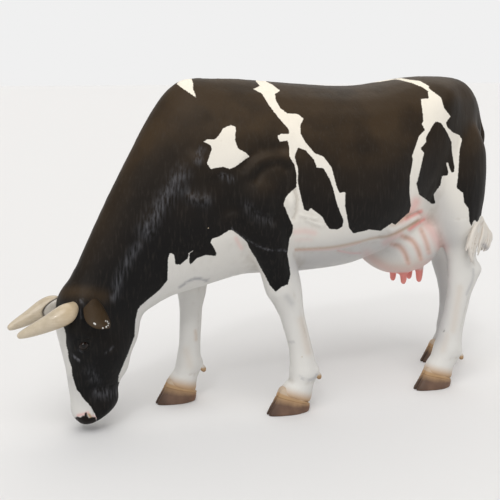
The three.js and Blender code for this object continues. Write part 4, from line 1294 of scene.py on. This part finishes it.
    # a few chips about 5 mm across, down to the pale gel coat: one in ten of cells 70 mm apart
    cells = add(tree, "ShaderNodeTexVoronoi", {"Vector": place, "Scale": 14.0})
    drawn_lot = add(tree, "ShaderNodeSeparateColor", {"Color": cells.outputs["Color"]}).outputs[0]
    few = add(tree, "ShaderNodeMath", {0: drawn_lot, 1: 0.90}, operation="GREATER_THAN").outputs[0]
    small = add(tree, "ShaderNodeMath", {0: cells.outputs["Distance"], 1: 0.035}, operation="LESS_THAN").outputs[0]
    chip = add(tree, "ShaderNodeMath", {0: few, 1: small}, operation="MULTIPLY").outputs[0]
    chipped = add(tree, "ShaderNodeMix", {SHARE: chip, FIRST: coat, SECOND: linear("#b3a58e")},
                  data_type="RGBA").outputs[MIXED]
    tree.links.new(chipped, surface.inputs["Base Color"])
    sheen = add(tree, "ShaderNodeMapRange", {"Value": hair, "To Min": 0.40, "To Max": 0.62}).outputs[0]
    tree.links.new(sheen, surface.inputs["Roughness"])
    surface.inputs["Specular IOR Level"].default_value = 0.13
    # 3 mm peel of the enamel under the hair strokes, 1.2 mm deep in all
    peel = add(tree, "ShaderNodeTexNoise", {"Vector": place, "Scale": 330.0, "Detail": 2.0}).outputs["Fac"]
    relief = add(tree, "ShaderNodeMath", {0: peel, 1: 0.18, 2: hair}, operation="MULTIPLY_ADD").outputs[0]
    bump = add(tree, "ShaderNodeBump", {"Height": relief, "Strength": 0.7, "Distance": 0.0012}).outputs[0]
    tree.links.new(bump, surface.inputs["Normal"])
    return material


def horn_paint():
    """Gloss enamel on a moulded horn: creamy tan with faint lengthwise streaks, and sharp highlights."""
    material, tree, surface = new_material("gloss_enamel_horn")
    place = add(tree, "ShaderNodeTexCoord").outputs["Object"]
    zones = add(tree, "ShaderNodeAttribute", attribute_name="horn_zones").outputs["Color"]
    ring, stub, root = add(tree, "ShaderNodeSeparateColor", {"Color": zones}).outputs
    # streaks 8 mm wide and 110 mm long, along the horn's slope, and mottling 40 mm across
    lengthways = add(tree, "ShaderNodeMapping", {"Vector": place, "Rotation": (0, math.radians(-23), 0),
                                                 "Scale": (9.0, 120.0, 120.0)}).outputs[0]
    grain = add(tree, "ShaderNodeTexNoise", {"Vector": lengthways, "Scale": 1.0, "Detail": 4.0}).outputs["Fac"]
    cloud = add(tree, "ShaderNodeTexNoise", {"Vector": place, "Scale": 26.0, "Detail": 4.0}).outputs["Fac"]
    mottle = add(tree, "ShaderNodeMapRange", {"Value": cloud, "From Min": 0.45, "From Max": 0.75,
                                              "To Max": 0.35}).outputs[0]
    warm = add(tree, "ShaderNodeMath", {0: root, 1: 0.35}, operation="MULTIPLY").outputs[0]
    body = linear("#b3a58f")
    for share, colour in ((grain, "#c8bca8"), (mottle, "#988973"), (warm, "#c4a87c"), (stub, "#b9b3aa"),
                          (ring, "#231a16")):
        body = add(tree, "ShaderNodeMix", {SHARE: share, FIRST: body, SECOND: linear(colour)},
                   data_type="RGBA").outputs[MIXED]
    tree.links.new(body, surface.inputs["Base Color"])
    surface.inputs["Roughness"].default_value = 0.16
    surface.inputs["Specular IOR Level"].default_value = 0.5
    bump = add(tree, "ShaderNodeBump", {"Height": grain, "Strength": 0.35, "Distance": 0.0006}).outputs[0]
    tree.links.new(bump, surface.inputs["Normal"])
    return material


def hoof_paint():
    """Satin enamel over a moulded hoof: a dull brown wall, a tan coronet and a dark line where they meet."""
    material, tree, surface = new_material("satin_enamel_hoof")
    place = add(tree, "ShaderNodeTexCoord").outputs["Object"]
    zones = add(tree, "ShaderNodeAttribute", attribute_name="hoof_zones").outputs["Color"]
    share_up, toe, heel = add(tree, "ShaderNodeSeparateColor", {"Color": zones}).outputs
    # patches 30 mm across, and horn grain 6 mm wide and 40 mm long
    cloud = add(tree, "ShaderNodeTexNoise", {"Vector": place, "Scale": 34.0, "Detail": 4.0}).outputs["Fac"]
    lines = add(tree, "ShaderNodeMapping", {"Vector": place, "Scale": (160.0, 160.0, 26.0)}).outputs[0]
    grain = add(tree, "ShaderNodeTexNoise", {"Vector": lines, "Scale": 1.0, "Detail": 3.0}).outputs["Fac"]
    dark_toe = add(tree, "ShaderNodeMath", {0: toe, 1: 0.75}, operation="MULTIPLY").outputs[0]
    red_heel = add(tree, "ShaderNodeMath", {0: heel, 1: 0.6}, operation="MULTIPLY").outputs[0]
    rise = add(tree, "ShaderNodeMath", {0: cloud, 1: 0.22, 2: share_up}, operation="MULTIPLY_ADD").outputs[0]
    band = add(tree, "ShaderNodeMapRange", {"Value": rise, "From Min": 0.66, "From Max": 1.12}).outputs[0]
    off = add(tree, "ShaderNodeMath", {0: share_up, 1: HOOF_GROOVE}, operation="SUBTRACT").outputs[0]
    gap = add(tree, "ShaderNodeMath", {0: off}, operation="ABSOLUTE").outputs[0]
    line = add(tree, "ShaderNodeMapRange", {"Value": gap, "From Min": 0.0, "From Max": 0.035,
                                            "To Min": 0.65, "To Max": 0.0}).outputs[0]
    # over the coronet, the hoof and the dewclaw were painted with the leg
    root = add(tree, "ShaderNodeMapRange", {"Value": share_up, "From Min": 1.12, "From Max": 1.34}).outputs[0]
    wall = linear("#503a2e")
    for share, colour in ((cloud, "#785e4d"), (dark_toe, "#39291f"), (red_heel, "#7a5238"), (band, "#a98a66"),
                          (line, "#74512c"), (root, "#c8c4bd")):
        wall = add(tree, "ShaderNodeMix", {SHARE: share, FIRST: wall, SECOND: linear(colour)},
                   data_type="RGBA").outputs[MIXED]
    tree.links.new(wall, surface.inputs["Base Color"])
    surface.inputs["Roughness"].default_value = 0.5
    surface.inputs["Specular IOR Level"].default_value = 0.35
    bump = add(tree, "ShaderNodeBump", {"Height": grain, "Strength": 0.5, "Distance": 0.0008}).outputs[0]
    tree.links.new(bump, surface.inputs["Normal"])
    return material


def eye_paint():
    """A cast ball under clear varnish: a near-black pupil in a dark brown iris, wet and mirror-bright."""
    material, tree, surface = new_material("clear_varnish_eye")
    place = add(tree, "ShaderNodeTexCoord").outputs["Object"]
    zones = add(tree, "ShaderNodeAttribute", attribute_name="eye_zones").outputs["Color"]
    pupil, iris, _ = add(tree, "ShaderNodeSeparateColor", {"Color": zones}).outputs
    # flecks 3 mm across in the iris
    fleck = add(tree, "ShaderNodeTexNoise", {"Vector": place, "Scale": 300.0, "Detail": 3.0}).outputs["Fac"]
    brown = add(tree, "ShaderNodeMix", {SHARE: fleck, FIRST: linear("#140b08"), SECOND: linear("#26160f")},
                data_type="RGBA").outputs[MIXED]
    ball = add(tree, "ShaderNodeMix", {SHARE: iris, FIRST: linear("#120b0a"), SECOND: brown},
               data_type="RGBA").outputs[MIXED]
    centred = add(tree, "ShaderNodeMix", {SHARE: pupil, FIRST: ball, SECOND: linear("#050404")},
                  data_type="RGBA").outputs[MIXED]
    tree.links.new(centred, surface.inputs["Base Color"])
    surface.inputs["Roughness"].default_value = 0.08
    surface.inputs["Specular IOR Level"].default_value = 0.28
    return material


coat, horns, hooves, eyes = coat_paint(), horn_paint(), hoof_paint(), eye_paint()


def fit(piece, material, slot, *nodes):
    """Gives a piece its finish and its body, and hides the CAD nodes that it stands for."""
    piece.data.materials.clear()
    piece.data.materials.append(material)
    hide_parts(*nodes)
    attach(piece, "root")


fit(skin, coat, "hide_paint", *SKIN_NODES)
for side, name in ((-1, "left"), (1, "right")):
    fit(horn(side), horns, "horn_paint", f"horn_{name}")
    fit(eye(side), eyes, "eye_gloss", f"eye_{name}")
    fit(ear(side), coat, "hide_paint", f"ear_{name}")
for foot in FEET:
    fit(hoof(foot), hooves, "hoof_paint", f"claw_{foot}_inner", f"claw_{foot}_outer")
    for place in ("inner", "outer"):
        fit(dewclaw(foot, place), hooves, "hoof_paint", f"dewclaw_{foot}_{place}")
fit(switch(), coat, "white_paint", "tail_switch")
